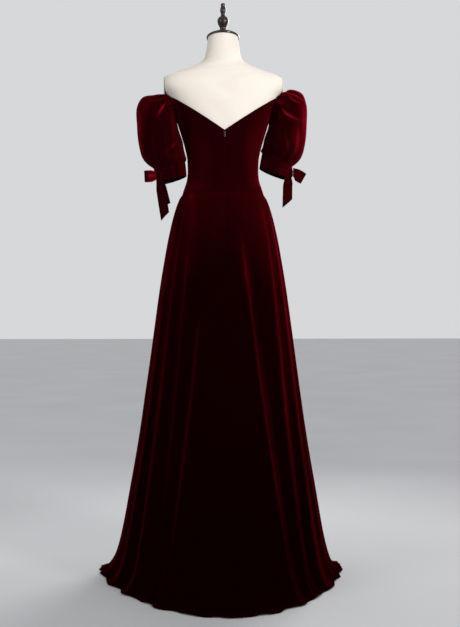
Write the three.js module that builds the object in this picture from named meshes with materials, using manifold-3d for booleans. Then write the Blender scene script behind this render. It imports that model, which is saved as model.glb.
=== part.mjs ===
// A floor-length velvet prom dress on a limbless dress form.
// Off-the-shoulder neckline with a V at the back, short puff sleeves gathered into tied bands,
// a fitted bodice with a centre-back zip, and a flared skirt whose hem spreads on the floor.
// Millimetres, +Z up. The back of the dress, with the zip, faces -Y, and +X is the wearer's right.
// An angle round the body is 0 at the centre back, 90 at the wearer's right side and 180 at the front.
import * as THREE from "three";
import { mergeVertices } from "three/addons/utils/BufferGeometryUtils.js";
import Module from "manifold-3d";

const { Vector3 } = THREE;
const { sin, cos, abs, sign, hypot, min, max, PI } = Math;

const cloth = 2.0; // velvet wall
const ribbon = 1.6; // tie, loop and tail wall
const seamGap = 0.3; // between pieces that are sewn together
const formGap = 0.8; // between the form and the cloth on it
const waistSeam = 1149.5; // height of the seam between bodice and skirt
const zipTop = 1321;
const zipEnd = 1011;
const zipSlot = 2.2; // between the two back panels along the zip
const zipWidth = 1.6;
const chainThick = 1.2;
const zipStop = 4; // the chain ends this far above the slot's end
const zipRows = 16;
const torsoBottom = 860;
const armFace = 175; // flat side of the form, from its middle
const armPlate = { thick: 2.4, halfDepth: 31, halfHeight: 33, forward: -6, height: 1463 };
const neckTop = 1617;
const neckTilt = 0.16; // slope of the neck's top, low at the front
const neckTiltFrom = 1555; // height at which the tilt begins
const capForward = 5; // the neck's middle, and so the cap's
const bust = { height: 20, side: 50, spread: 41, level: 1314, rise: 46 };
const formInset = 0.8; // so that its facets stay inside the cloth
const formBust = 0.6; // share of the bust that the form itself has under the cups
const formColumns = 34;
const vBack = { tip: 1326, slope: 0.67 }; // back neckline: height at the middle, rise for each mm sideways
const vFront = { tip: 1368, slope: 0.5 };
const armhole = { middle: 1408, halfHeight: 40, halfDepth: 45, clear: 3.1, ease: 0.5 };
// The armhole's upper half is a squarer oval, and its top runs from the body out over the arm plate.
const armholeTop = { squareY: 0.4, squareZ: 0.5 };
const plateRise = { from: 1412, to: 1432, near: 24, far: 34 };
const princess = 40; // degrees from the centre front to a princess seam
const slider = { wide: 5.4, high: 10, deep: 1.8 };
const bridge = { wide: 1.2, bar: 0.9, hole: 2.3, rise: 0.72, sunk: 0.4 }; // rise is a share of slider.high
const pull = { length: 14, wide: 4.8, thick: 1.1, bar: 1.1, eyeWide: 2.4, eyeHigh: 4.4 };

// The figure, as level sections: half width, depth to the back and to the front, and squareness.
const bodySections = [
  { z: 860, width: 148, back: 110, front: 92, square: 2.2 },
  { z: 940, width: 156, back: 117, front: 98, square: 2.2 },
  { z: 1011, width: 153, back: 114, front: 99, square: 2.2 },
  { z: 1065, width: 143, back: 104, front: 97, square: 2.2 },
  { z: 1119, width: 128, back: 91, front: 93, square: 2.2 },
  { z: 1160, width: 114.5, back: 82, front: 89, square: 2.2 },
  { z: 1191, width: 105, back: 77, front: 86, square: 2.2 },
  { z: 1215, width: 103, back: 76, front: 86, square: 2.2 },
  { z: 1247, width: 104, back: 79, front: 89, square: 2.25 },
  { z: 1281, width: 110, back: 85, front: 96, square: 2.3 },
  { z: 1317, width: 120, back: 91, front: 101, square: 2.4 },
  { z: 1347, width: 129.5, back: 94, front: 99, square: 2.5 },
  { z: 1380, width: 140, back: 95, front: 93, square: 2.6 },
  { z: 1412, width: 152, back: 94, front: 86, square: 2.7 },
  { z: 1437, width: 166, back: 90, front: 79, square: 2.8 },
  { z: 1455, width: 180, back: 86, front: 74, square: 2.8 },
  { z: 1470, width: 186, back: 82, front: 70, square: 2.8 },
  { z: 1484, width: 184, back: 77, front: 65, square: 2.8 },
  { z: 1494, width: 178, back: 72, front: 60, square: 2.7 },
  { z: 1502, width: 165, back: 68, front: 56, square: 2.6 },
  { z: 1510, width: 143, back: 64, front: 54, square: 2.5 },
  { z: 1519, width: 118, back: 60, front: 53, square: 2.3 },
  { z: 1529, width: 94, back: 55, front: 53, square: 2.1 },
  { z: 1539, width: 72, back: 50, front: 54, square: 2 },
  { z: 1550, width: 60, back: 46, front: 55, square: 2 },
  { z: 1565, width: 54, back: 43, front: 55, square: 2 },
  { z: 1590, width: 49.5, back: 42, front: 53, square: 2 },
  { z: 1617, width: 46, back: 41, front: 51, square: 2 },
];

// The skirt's own sections, down from the waist seam and out along the floor at the hem.
// shift is how far forward the widest place lies, and taper draws the train in towards its tip.
const skirtSections = [
  { z: 1131, width: 130, back: 95.5, front: 97.5, shift: 0, square: 2.2, taper: 1 },
  { z: 1085, width: 146, back: 108.5, front: 106, shift: 0, square: 2.2, taper: 1 },
  { z: 1011, width: 163.5, back: 126, front: 116.5, shift: 0, square: 2.2, taper: 1 },
  { z: 985, width: 168.5, back: 131.5, front: 119.5, shift: 0, square: 2.18, taper: 1 },
  { z: 870, width: 188, back: 155, front: 135, shift: 0, square: 2.12, taper: 1 },
  { z: 720, width: 209, back: 189, front: 156, shift: 0, square: 2.06, taper: 1 },
  { z: 560, width: 231, back: 227, front: 177, shift: 3, square: 2, taper: 1 },
  { z: 400, width: 254, back: 269, front: 193, shift: 10, square: 2, taper: 1 },
  { z: 250, width: 280, back: 311, front: 204, shift: 20, square: 2, taper: 1.02 },
  { z: 129, width: 303, back: 357, front: 209, shift: 35, square: 2, taper: 1.06 },
  { z: 60, width: 322, back: 405, front: 207, shift: 55, square: 2, taper: 1.14 },
  { z: 22, width: 341, back: 458, front: 206, shift: 78, square: 2, taper: 1.26 },
  { z: 5, width: 358, back: 502, front: 207, shift: 92, square: 2, taper: 1.38 },
  { z: 1, width: 375, back: 543, front: 212, shift: 106, square: 2, taper: 1.48 },
];

// Skirt folds, in order round the waist: angle at the waist and at the hem, where the ridge starts
// as a share of the drop, its height at the hem, and its spread in degrees.
const skirtFolds = [
  { name: "side seam left", waist: -90, hem: -90, start: 0.1, height: 0, spread: 5 },
  { name: "left outer", waist: -65, hem: -63, start: 0.02, height: 17, spread: 4.6 },
  { name: "left inner", waist: -52, hem: -50, start: 0.02, height: 19, spread: 4.2 },
  { name: "left soft", waist: -36, hem: -39, start: 0.1, height: 8, spread: 4 },
  { name: "left middle", waist: -13, hem: -31, start: 0.3, height: 15, spread: 4.2 },
  { name: "centre back", waist: 0, hem: 0, start: 0.1, height: 0, spread: 5 },
  { name: "right soft", waist: 6, hem: 20, start: 0.45, height: 8, spread: 4.5 },
  { name: "right middle", waist: 11, hem: 32, start: 0.12, height: 18, spread: 4 },
  { name: "right inner", waist: 50, hem: 42, start: 0.02, height: 17, spread: 4.2 },
  { name: "right outer", waist: 67, hem: 54, start: 0.02, height: 18, spread: 4.8 },
  { name: "side seam right", waist: 90, hem: 90, start: 0.1, height: 0, spread: 5 },
  { name: "front right 1", waist: 106, hem: 104, start: 0.03, height: 15, spread: 4.8 },
  { name: "front right 2", waist: 121, hem: 120, start: 0.05, height: 20, spread: 5 },
  { name: "front right 3", waist: 139, hem: 137, start: 0.2, height: 13, spread: 5 },
  { name: "front right 4", waist: 158, hem: 156, start: 0.12, height: 18, spread: 5.2 },
  { name: "centre front", waist: 180, hem: 178, start: 0.4, height: 9, spread: 6 },
  { name: "front left 4", waist: 201, hem: 203, start: 0.08, height: 17, spread: 5.2 },
  { name: "front left 3", waist: 220, hem: 223, start: 0.22, height: 14, spread: 5 },
  { name: "front left 2", waist: 238, hem: 241, start: 0.04, height: 19, spread: 5 },
  { name: "front left 1", waist: 254, hem: 257, start: 0.05, height: 14, spread: 4.8 },
  { name: "side seam left again", waist: 270, hem: 270, start: 0.1, height: 0, spread: 5 },
];
const foldColumns = [0, 0.15, 0.38, 0.62, 0.85]; // columns from one fold to the next, as shares
// How a ridge grows down the skirt, how much wider it starts, and the hollow on both sides of it.
const foldForm = {
  growOver: 0.75,
  growth: 0.8,
  wideAtWaist: 1.5,
  hollow: 0.32,
  hollowSpread: 2.4,
  fan: 1.6,
};

// Sleeves, seen from the back: the outer and the inner line, and half the depth, from the armhole
// to the top of the band. x is measured outwards from the middle of the body.
const sleeves = {
  right: {
    side: 1,
    topEdge: 1447,
    stations: [
      { outerX: 200, outerZ: 1461, innerX: 137.5, innerZ: 1350, depth: 57 },
      { outerX: 235, outerZ: 1452, innerX: 131, innerZ: 1331, depth: 66 },
      { outerX: 250, outerZ: 1418, innerX: 125, innerZ: 1313, depth: 70 },
      { outerX: 251, outerZ: 1362, innerX: 122, innerZ: 1298, depth: 71 },
      { outerX: 246, outerZ: 1304, innerX: 118, innerZ: 1285, depth: 69 },
      { outerX: 233, outerZ: 1262, innerX: 115, innerZ: 1278.5, depth: 61 },
      { outerX: 209.4, outerZ: 1232.7, innerX: 118.6, innerZ: 1275.5, depth: 47.2 },
    ],
    band: [
      { outerX: 208, outerZ: 1232, innerX: 119, innerZ: 1274, depth: 46 },
      { outerX: 207, outerZ: 1212, innerX: 114, innerZ: 1250, depth: 46.5 },
      { outerX: 203, outerZ: 1191, innerX: 110, innerZ: 1226, depth: 46 },
    ],
    wavePhase: 0.4,
  },
  left: {
    side: -1,
    topEdge: 1441,
    stations: [
      { outerX: 203, outerZ: 1440, innerX: 136, innerZ: 1347, depth: 56 },
      { outerX: 238, outerZ: 1434, innerX: 129, innerZ: 1324, depth: 66 },
      { outerX: 256, outerZ: 1405, innerX: 122, innerZ: 1304, depth: 71 },
      { outerX: 256, outerZ: 1352, innerX: 119, innerZ: 1286, depth: 72 },
      { outerX: 250, outerZ: 1295, innerX: 114.5, innerZ: 1266, depth: 70 },
      { outerX: 236, outerZ: 1253, innerX: 111, innerZ: 1252, depth: 61 },
      { outerX: 208.1, outerZ: 1223.7, innerX: 113.3, innerZ: 1244.1, depth: 47.1 },
    ],
    band: [
      { outerX: 207, outerZ: 1223, innerX: 114, innerZ: 1243, depth: 46 },
      { outerX: 201, outerZ: 1199, innerX: 111.5, innerZ: 1222, depth: 46.5 },
      { outerX: 192, outerZ: 1176, innerX: 110, innerZ: 1201, depth: 46 },
    ],
    wavePhase: 1.3,
  },
};
const gathers = { waves: 12, atTop: 3.0, atMiddle: 0.6, atBand: 2.6, inSeam: 0.3, onBand: 0.9 };
const uneven = { swing: 0.25, humps: 3, drift: 0.6, onBodySide: 0.25 }; // of the gathers, round a ring
const sleeveColumns = 40;
const sleeveRows = [0, 0.09, 0.21, 0.35, 0.5, 0.66, 0.8, 0.92, 1]; // shares of the way to the band

// Bows: where the knot sits, which way it faces, and its loops and tails. A loop's direction is its
// turn from +X round the vertical and its dip below level, root and rise are where it starts from the
// knot's middle, and bend is how far its tip curls back towards the arm. A tail starts so far to the side of
// the knot's middle, and leans sideways and outwards by so much for each mm down.
const bows = {
  right: {
    knot: { x: 199, y: -46, z: 1207 },
    facing: -62,
    loops: [
      { name: "outer", turn: 10, dip: 30, root: 9.3, rise: 7, length: 45, bend: 0 },
      { name: "inner", turn: 201, dip: -17, root: 8.5, rise: 0, length: 56, bend: 11.75 },
    ],
    tails: [
      { name: "long", aside: -11, lean: -0.03, out: 0.02, long: 92, width: 33, cut: 27, stand: 4.4, turn: -4 },
      { name: "short", aside: -6, lean: -0.03, out: -0.02, long: 76, width: 31, cut: 16, stand: 0, turn: 8 },
    ],
  },
  left: {
    knot: { x: -193, y: -45, z: 1197 },
    facing: -118,
    loops: [
      { name: "outer", turn: 172, dip: 3, root: 8.05, rise: 0, length: 41, bend: 0 },
      { name: "inner", turn: -21, dip: -11, root: 8.25, rise: 0, length: 52, bend: 9.4 },
    ],
    tails: [
      { name: "long", aside: 2.5, lean: 0.17, out: 0.02, long: 122, width: 28, cut: 26, stand: 4.4, turn: 40 },
      { name: "short", aside: 2, lean: 0.22, out: -0.05, long: 82, width: 29, cut: 14, stand: 0, turn: 16 },
    ],
  },
};
const knotSize = { wide: 16, high: 25, deep: 12, pinch: 0.12, pinchSpread: 1.6 };
const knotLevels = [-0.98, -0.8, -0.4, 0, 0.4, 0.8, 0.98]; // shares of half the knot's height
const knotColumns = 14;
const loopSize = { width: 34, swell: 5.4, rootSwell: 2.6, rootWidth: 0.8, columns: 16, rows: 2 };
const tailForm = { rootWidth: 0.7, curl: 1.6, start: 0.49, columns: 4, rows: 7 };

const pole = { radius: 12.5 };
const base = { radius: 140, rim: 5, thick: 14, slope: 10, step: 4, collar: 24, fillet: 14, collarTop: 52 };
const capProfile = [
  { r: 48.5, z: 0 },
  { r: 49.5, z: 3.5 },
  { r: 46, z: 8 },
  { r: 34, z: 13 },
  { r: 18, z: 16.5 },
  { r: 11, z: 18 },
];
const finialProfile = [
  { r: 12.5, z: 1636 },
  { r: 9.8, z: 1641 },
  { r: 9.6, z: 1646 },
  { r: 12, z: 1652 },
  { r: 15.4, z: 1659 },
  { r: 16.9, z: 1666 },
  { r: 16.2, z: 1673 },
  { r: 12, z: 1679 },
  { r: 7.2, z: 1683 },
  { r: 6.5, z: 1689 },
  { r: 8.2, z: 1695 },
  { r: 9, z: 1701 },
  { r: 7.6, z: 1707 },
  { r: 6.6, z: 1711 },
  { r: 6.9, z: 1717 },
  { r: 5, z: 1720.5 },
];

const materials = {
  velvet: new THREE.MeshStandardMaterial({ color: 0x4a0411, roughness: 0.85, metalness: 0 }),
  ribbon: new THREE.MeshStandardMaterial({ color: 0x5a0414, roughness: 0.8, metalness: 0 }),
  zip: new THREE.MeshStandardMaterial({ color: 0x2c0610, roughness: 0.5, metalness: 0 }),
  metal: new THREE.MeshStandardMaterial({ color: 0x7d767a, roughness: 0.3, metalness: 0.9 }),
  cover: new THREE.MeshStandardMaterial({ color: 0xe9e1d8, roughness: 0.9, metalness: 0 }),
  wood: new THREE.MeshStandardMaterial({ color: 0x2a1c17, roughness: 0.35, metalness: 0 }),
  steel: new THREE.MeshStandardMaterial({ color: 0x1d1d1f, roughness: 0.45, metalness: 0.6 }),
};

const wasm = await Module();
wasm.setup();

const radians = (degrees) => (degrees * PI) / 180;
const mix = (a, b, t) => a + (b - a) * t;
const bell = (x) => Math.exp(-x * x);

function smooth(from, to, x) {
  const t = min(1, max(0, (x - from) / (to - from)));
  return t * t * (3 - 2 * t);
}

// A column's value at a place along a table, through the rows with no overshoot between them.
function along(rows, place, at, column) {
  const last = rows.length - 1;
  const forward = rows[last][place] > rows[0][place] ? 1 : -1;
  let i = 0;
  while (i < last - 1 && forward * (at - rows[i + 1][place]) > 0) i += 1;
  const step = (k) => rows[k + 1][place] - rows[k][place];
  const slope = (k) => (rows[k + 1][column] - rows[k][column]) / step(k);
  const tangent = (k) => {
    if (k === 0) return slope(0);
    if (k === last) return slope(last - 1);
    const before = slope(k - 1);
    const after = slope(k);
    return before * after <= 0 ? 0 : (2 * before * after) / (before + after);
  };
  const t = min(1, max(0, (at - rows[i][place]) / step(i)));
  const a = rows[i][column];
  const b = rows[i + 1][column];
  const up = tangent(i) * step(i);
  const down = tangent(i + 1) * step(i);
  const level = a * (2 * t ** 3 - 3 * t ** 2 + 1) + b * (3 * t ** 2 - 2 * t ** 3);
  return level + up * (t ** 3 - 2 * t ** 2 + t) + down * (t ** 3 - t ** 2);
}

// A point on a level section: a superellipse with its own depth to the back and to the front.
function onSection(section, angle, swell = 0) {
  const s = sin(angle);
  const c = cos(angle);
  const power = 2 / section.square;
  const taper = c > 0 ? section.taper ?? 1 : 1;
  const depth = c > 0 ? section.back : section.front;
  const x = (section.width + swell) * sign(s) * abs(s) ** power;
  const y = (section.shift ?? 0) - (depth + swell) * sign(c) * abs(c) ** (power * taper);
  return new Vector3(x, y, section.z);
}

function bodySection(z) {
  const at = (column) => along(bodySections, "z", z, column);
  return { z, width: at("width"), back: at("back"), front: at("front"), square: at("square") };
}

// The figure's surface, with a share of the bust and the forward tilt of the neck's top.
function bodyPoint(angle, z, bustShare = 1) {
  const p = onSection(bodySection(z), angle);
  const forward = smooth(0, 0.5, -cos(angle));
  const cups = bell((p.x - bust.side) / bust.spread) + bell((p.x + bust.side) / bust.spread);
  p.y += bustShare * bust.height * forward * cups * bell((z - bust.level) / bust.rise);
  p.z -= p.y * neckTilt * smooth(neckTiltFrom, neckTop, z);
  return p;
}

// A point moved out along the surface's normal.
function movedOut(surface, u, v, distance, stepU = 0.01, stepV = 0.5) {
  const alongU = surface(u + stepU, v).sub(surface(u - stepU, v));
  const alongV = surface(u, v + stepV).sub(surface(u, v - stepV));
  return surface(u, v).addScaledVector(alongU.cross(alongV).normalize(), distance);
}

const bodicePoint = (angle, z) => movedOut(bodyPoint, angle, z, formGap + cloth / 2);

// A closed mesh from its points and the triangles between them.
function solid(points, triangles) {
  const geometry = new THREE.BufferGeometry();
  const flat = new Float32Array(points.length * 3);
  points.forEach((p, i) => p.toArray(flat, i * 3));
  geometry.setAttribute("position", new THREE.BufferAttribute(flat, 3));
  geometry.setIndex(triangles);
  geometry.computeVertexNormals();
  return geometry;
}

// A wall of even thickness on a grid of points, rows by columns, open or closed round the columns.
// Rows run downwards and columns anticlockwise from above, so that the normal points outwards.
function wall(grid, thickness, { closed = false, floor = -Infinity } = {}) {
  const rows = grid.length;
  const columns = grid[0].length;
  const wrap = (j) => (closed ? (j + columns) % columns : min(columns - 1, max(0, j)));
  const points = [];
  const place = (side, i, j) => (side * rows + i) * columns + wrap(j);
  for (const side of [0, 1]) {
    for (let i = 0; i < rows; i += 1) {
      for (let j = 0; j < columns; j += 1) {
        const across = grid[i][wrap(j + 1)].clone().sub(grid[i][wrap(j - 1)]);
        const down = grid[min(rows - 1, i + 1)][j].clone().sub(grid[max(0, i - 1)][j]);
        const normal = down.cross(across).normalize();
        const p = grid[i][j].clone().addScaledVector(normal, (side === 0 ? 0.5 : -0.5) * thickness);
        p.z = max(p.z, side === 0 ? floor + thickness : floor);
        points.push(p);
      }
    }
  }
  const triangles = [];
  const quad = (a, b, c, d) => triangles.push(a, b, c, a, c, d);
  const lastColumn = closed ? columns : columns - 1;
  for (let j = 0; j < lastColumn; j += 1) {
    for (let i = 0; i < rows - 1; i += 1) {
      quad(place(0, i, j), place(0, i + 1, j), place(0, i + 1, j + 1), place(0, i, j + 1));
      quad(place(1, i, j), place(1, i, j + 1), place(1, i + 1, j + 1), place(1, i + 1, j));
    }
    quad(place(0, 0, j), place(0, 0, j + 1), place(1, 0, j + 1), place(1, 0, j));
    const foot = rows - 1;
    quad(place(0, foot, j), place(1, foot, j), place(1, foot, j + 1), place(0, foot, j + 1));
  }
  if (!closed) {
    for (let i = 0; i < rows - 1; i += 1) {
      quad(place(0, i, 0), place(1, i, 0), place(1, i + 1, 0), place(0, i + 1, 0));
      const e = columns - 1;
      quad(place(0, i, e), place(0, i + 1, e), place(1, i + 1, e), place(1, i, e));
    }
  }
  return solid(points, triangles);
}

// A closed solid through rings, with a flat or pointed cap at each end.
function loft(rings) {
  const columns = rings[0].length;
  const points = rings.flat();
  const triangles = [];
  for (let i = 0; i < rings.length - 1; i += 1) {
    for (let j = 0; j < columns; j += 1) {
      const k = (j + 1) % columns;
      const a = i * columns;
      const b = a + columns;
      triangles.push(a + j, a + k, b + k, a + j, b + k, b + j);
    }
  }
  for (const [ring, turn] of [[0, true], [rings.length - 1, false]]) {
    const middle = rings[ring].reduce((sum, p) => sum.add(p), new Vector3()).divideScalar(columns);
    points.push(middle);
    const m = points.length - 1;
    for (let j = 0; j < columns; j += 1) {
      const a = ring * columns + j;
      const b = ring * columns + ((j + 1) % columns);
      triangles.push(...(turn ? [m, b, a] : [m, a, b]));
    }
  }
  return solid(points, triangles);
}

// A geometry as a solid for joining and cutting, and a solid back as a geometry.
function toManifold(geometry) {
  const bare = geometry.clone();
  bare.deleteAttribute("normal");
  bare.deleteAttribute("uv");
  const merged = mergeVertices(bare, 1e-4);
  const vertProperties = merged.attributes.position.array;
  const triVerts = new Uint32Array(merged.index.array);
  return new wasm.Manifold(new wasm.Mesh({ numProp: 3, vertProperties, triVerts }));
}

function fromManifold(body) {
  const mesh = body.getMesh();
  const geometry = new THREE.BufferGeometry();
  geometry.setAttribute("position", new THREE.BufferAttribute(mesh.vertProperties, 3));
  geometry.setIndex(new THREE.BufferAttribute(mesh.triVerts, 1));
  geometry.computeVertexNormals();
  return geometry;
}

const group = new THREE.Group();
function add(name, geometry, material) {
  const mesh = new THREE.Mesh(geometry, material);
  mesh.name = name;
  group.add(mesh);
}

// Height of the bodice's top edge at an angle: the neckline, dipping to the armhole at the sides.
// The line is met from a first height in rounds, each a share of the way.
const meeting = { first: 1400, rounds: 30, share: 0.6 };
function bodiceTop(angle) {
  const line = cos(angle) > 0 ? vBack : vFront;
  let z = meeting.first;
  for (let k = 0; k < meeting.rounds; k += 1) {
    z = mix(z, line.tip + line.slope * abs(bodicePoint(angle, z).x), meeting.share);
  }
  const y = bodicePoint(angle, z).y;
  const across = abs(y) / armhole.halfDepth;
  if (across >= 1) return z;
  const lower = armhole.middle - armhole.halfHeight * Math.sqrt(1 - across * across);
  return min(z, lower);
}

// Half the slot between the back panels: wide along the zip, a plain seam below it.
const slotEnd = 8; // over this height the slot narrows to the seam
const halfSlot = (z) => mix(seamGap / 2, zipSlot / 2, smooth(zipEnd - slotEnd, zipEnd, z));

// Moves the outer columns of a panel in from the seam, by half the gap.
function parted(grid, gapAtStart, gapAtEnd) {
  for (const row of grid) {
    const last = row.length - 1;
    const start = row[1].clone().sub(row[0]).normalize();
    const end = row[last - 1].clone().sub(row[last]).normalize();
    row[0].addScaledVector(start, gapAtStart(row[0].z));
    row[last].addScaledVector(end, gapAtEnd(row[last].z));
  }
  return grid;
}

const plainSeam = () => seamGap / 2;

const bodiceMesh = { degreesAColumn: 7.5, rows: 8 };
function bodicePanel(from, to, gapAtStart = plainSeam, gapAtEnd = plainSeam) {
  const columns = Math.round((to - from) / bodiceMesh.degreesAColumn);
  const { rows } = bodiceMesh;
  const foot = waistSeam + seamGap / 2;
  const tops = [];
  for (let j = 0; j <= columns; j += 1) tops.push(bodiceTop(radians(mix(from, to, j / columns))));
  const grid = [];
  for (let i = 0; i <= rows; i += 1) {
    const row = [];
    for (let j = 0; j <= columns; j += 1) {
      const angle = radians(mix(from, to, j / columns));
      row.push(bodicePoint(angle, mix(tops[j], foot, i / rows)));
    }
    grid.push(row);
  }
  return wall(parted(grid, gapAtStart, gapAtEnd), cloth);
}

function addBodice() {
  const { velvet } = materials;
  add("bodice_back_left", bodicePanel(-90, 0, plainSeam, halfSlot), velvet);
  add("bodice_back_right", bodicePanel(0, 90, halfSlot, plainSeam), velvet);
  add("bodice_front_side_right", bodicePanel(90, 180 - princess), velvet);
  add("bodice_front_centre", bodicePanel(180 - princess, 180 + princess), velvet);
  add("bodice_front_side_left", bodicePanel(180 + princess, 270), velvet);
}

// The skirt's profile as rows placed by their distance down the cloth.
function skirtProfile() {
  const top = bodySection(waistSeam);
  const out = formGap + cloth / 2;
  const first = { z: waistSeam - seamGap / 2, shift: 0, square: top.square, taper: 1 };
  for (const side of ["width", "back", "front"]) first[side] = top[side] + out;
  const rows = [first, ...skirtSections].map((row) => ({ ...row }));
  rows[0].drop = 0;
  for (let i = 1; i < rows.length; i += 1) {
    const across = rows[i].width - rows[i - 1].width;
    rows[i].drop = rows[i - 1].drop + hypot(across, rows[i].z - rows[i - 1].z);
  }
  return rows;
}

const skirtColumns = ["z", "width", "back", "front", "shift", "square", "taper"];
const profile = skirtProfile();
const fullDrop = profile[profile.length - 1].drop;
const foldAngle = (fold, share) => mix(fold.waist, fold.hem, 1 - (1 - share) ** foldForm.fan);

// How far the skirt stands out at an angle in degrees, from the ridges beside it.
function ridges(angle, share) {
  let out = 0;
  for (const fold of skirtFolds) {
    let away = (angle - foldAngle(fold, share)) % 360;
    if (away > 180) away -= 360;
    if (away < -180) away += 360;
    const rise = smooth(fold.start, fold.start + foldForm.growOver, share);
    const grown = fold.height * rise ** foldForm.growth;
    const wide = away / (fold.spread * mix(foldForm.wideAtWaist, 1, share));
    out += grown * (bell(wide) - foldForm.hollow * bell(wide / foldForm.hollowSpread));
  }
  return out;
}

function skirtPoint(angle, drop) {
  const section = {};
  for (const column of skirtColumns) section[column] = along(profile, "drop", drop, column);
  const share = drop / fullDrop;
  return onSection(section, radians(angle), ridges(angle, share));
}

// The skirt's columns keep to the folds as these fan out, so a column is a place in the fold table.
function columnAngle(column, share) {
  const k = min(skirtFolds.length - 2, Math.floor(column));
  return mix(foldAngle(skirtFolds[k], share), foldAngle(skirtFolds[k + 1], share), column - k);
}

function skirtPanel(fromName, toName, gapAtStart, gapAtEnd) {
  const from = skirtFolds.findIndex((fold) => fold.name === fromName);
  const to = skirtFolds.findIndex((fold) => fold.name === toName);
  const columns = [];
  for (let k = from; k < to; k += 1) columns.push(...foldColumns.map((share) => k + share));
  columns.push(to);
  const row = (drop) => columns.map((c) => skirtPoint(columnAngle(c, drop / fullDrop), drop));
  const grid = profile.map(({ drop }) => row(drop));
  return wall(parted(grid, gapAtStart, gapAtEnd), cloth, { floor: 0 });
}

function addSkirt() {
  const { velvet } = materials;
  add("skirt_back_left", skirtPanel("side seam left", "centre back", plainSeam, halfSlot), velvet);
  add("skirt_back_right", skirtPanel("centre back", "side seam right", halfSlot, plainSeam), velvet);
  add("skirt_front", skirtPanel("side seam right", "side seam left again", plainSeam, plainSeam), velvet);
}

// The ring where a sleeve leaves the bodice: an oval on the side of the body, which at its top
// runs over the form's flat arm plate as the free edge of the neckline.
function armholeRing(sleeve, count) {
  const ring = [];
  const halfTop = (sleeve.topEdge - (armhole.middle - armhole.halfHeight)) / 2;
  const middle = sleeve.topEdge - halfTop;
  const clear = cloth + formGap + armhole.clear;
  for (let j = 0; j < count; j += 1) {
    const turn = (2 * PI * j) / count;
    const upper = cos(turn) > 0;
    const rise = upper ? cos(turn) ** armholeTop.squareZ : cos(turn);
    const aside = Math.sign(sin(turn)) * abs(sin(turn)) ** (upper ? armholeTop.squareY : 1);
    const z = middle + halfTop * rise;
    const y = (armhole.halfDepth + armhole.ease) * aside;
    const section = bodySection(z);
    const depth = (y < 0 ? section.back : section.front) + clear;
    const across = min(0.999, abs(y) / depth);
    const onBody = (section.width + clear) * (1 - across ** section.square) ** (1 / section.square);
    const overPlate = armFace + armPlate.thick + 2 * seamGap + cloth / 2 + armhole.ease;
    const away = smooth(plateRise.near, plateRise.far, abs(y - armPlate.forward));
    const over = smooth(plateRise.from, plateRise.to, z) * (1 - away);
    ring.push(new Vector3(mix(min(onBody, overPlate), overPlate, over), y, z));
  }
  return ring;
}

function stationRing(station, count) {
  const ring = [];
  for (let j = 0; j < count; j += 1) {
    const turn = (2 * PI * j) / count;
    const share = (1 + cos(turn)) / 2;
    const x = mix(station.innerX, station.outerX, share);
    const z = mix(station.innerZ, station.outerZ, share);
    ring.push(new Vector3(x, station.depth * sin(turn), z));
  }
  return ring;
}

// Points along smooth curves through the same place on each ring, a few rows to a ring.
function smoothedRings(rings, shares) {
  const through = (points) => new THREE.CatmullRomCurve3(points, false, "centripetal");
  const columns = rings[0].map((_, j) => through(rings.map((ring) => ring[j])));
  return shares.map((share) => columns.map((curve) => curve.getPoint(share)));
}

// Pushes the points of a tube in and out as gathers do, as deep as its table says at each row.
function gathered(rings, depthAt, phase) {
  return rings.map((ring, i) => {
    const share = i / (rings.length - 1);
    const middle = ring.reduce((sum, p) => sum.add(p), new Vector3()).divideScalar(ring.length);
    return ring.map((p, j) => {
      const turn = (2 * PI * j) / ring.length;
      const hump = 1 - uneven.swing + uneven.swing * sin(uneven.humps * turn + phase);
      const strength = hump * mix(uneven.onBodySide, 1, (1 + cos(turn)) / 2);
      const drift = uneven.drift * sin(turn + phase);
      const wave = depthAt(share) * strength * cos(gathers.waves * turn + drift);
      const out = p.clone().sub(middle).normalize();
      return p.clone().addScaledVector(out, wave);
    });
  });
}

// Puts a tube made for the right side on its own side; mirrored columns are put in order again.
function onSide(rings, side) {
  if (side > 0) return rings;
  return rings.map((ring) => ring.map((p) => new Vector3(-p.x, p.y, p.z)).reverse());
}

// How deep the gathers are at a share of the way from the armhole to the band.
function gatherDepth(share) {
  const top = mix(gathers.atTop, gathers.atMiddle, smooth(0.02, 0.5, share));
  const low = mix(gathers.atMiddle, gathers.atBand, smooth(0.6, 0.92, share));
  if (share < 0.5) return top * smooth(-0.06, 0.1, share);
  return mix(low, gathers.inSeam, smooth(0.92, 1, share));
}

function addSleeve(name, sleeve) {
  const count = sleeveColumns;
  const rings = [armholeRing(sleeve, count), ...sleeve.stations.map((s) => stationRing(s, count))];
  const tube = gathered(smoothedRings(rings, sleeveRows), gatherDepth, sleeve.wavePhase);
  add(`sleeve_${name}`, wall(onSide(tube, sleeve.side), cloth, { closed: true }), materials.velvet);

  const band = smoothedRings(sleeve.band.map((s) => stationRing(s, count)), [0, 0.5, 1]);
  const pucker = (share) => gathers.onBand * smooth(0, 0.5, share);
  const puckered = gathered(band, pucker, sleeve.wavePhase + 1);
  const banded = wall(onSide(puckered, sleeve.side), ribbon, { closed: true });
  add(`sleeve_band_${name}`, banded, materials.ribbon);
}

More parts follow.
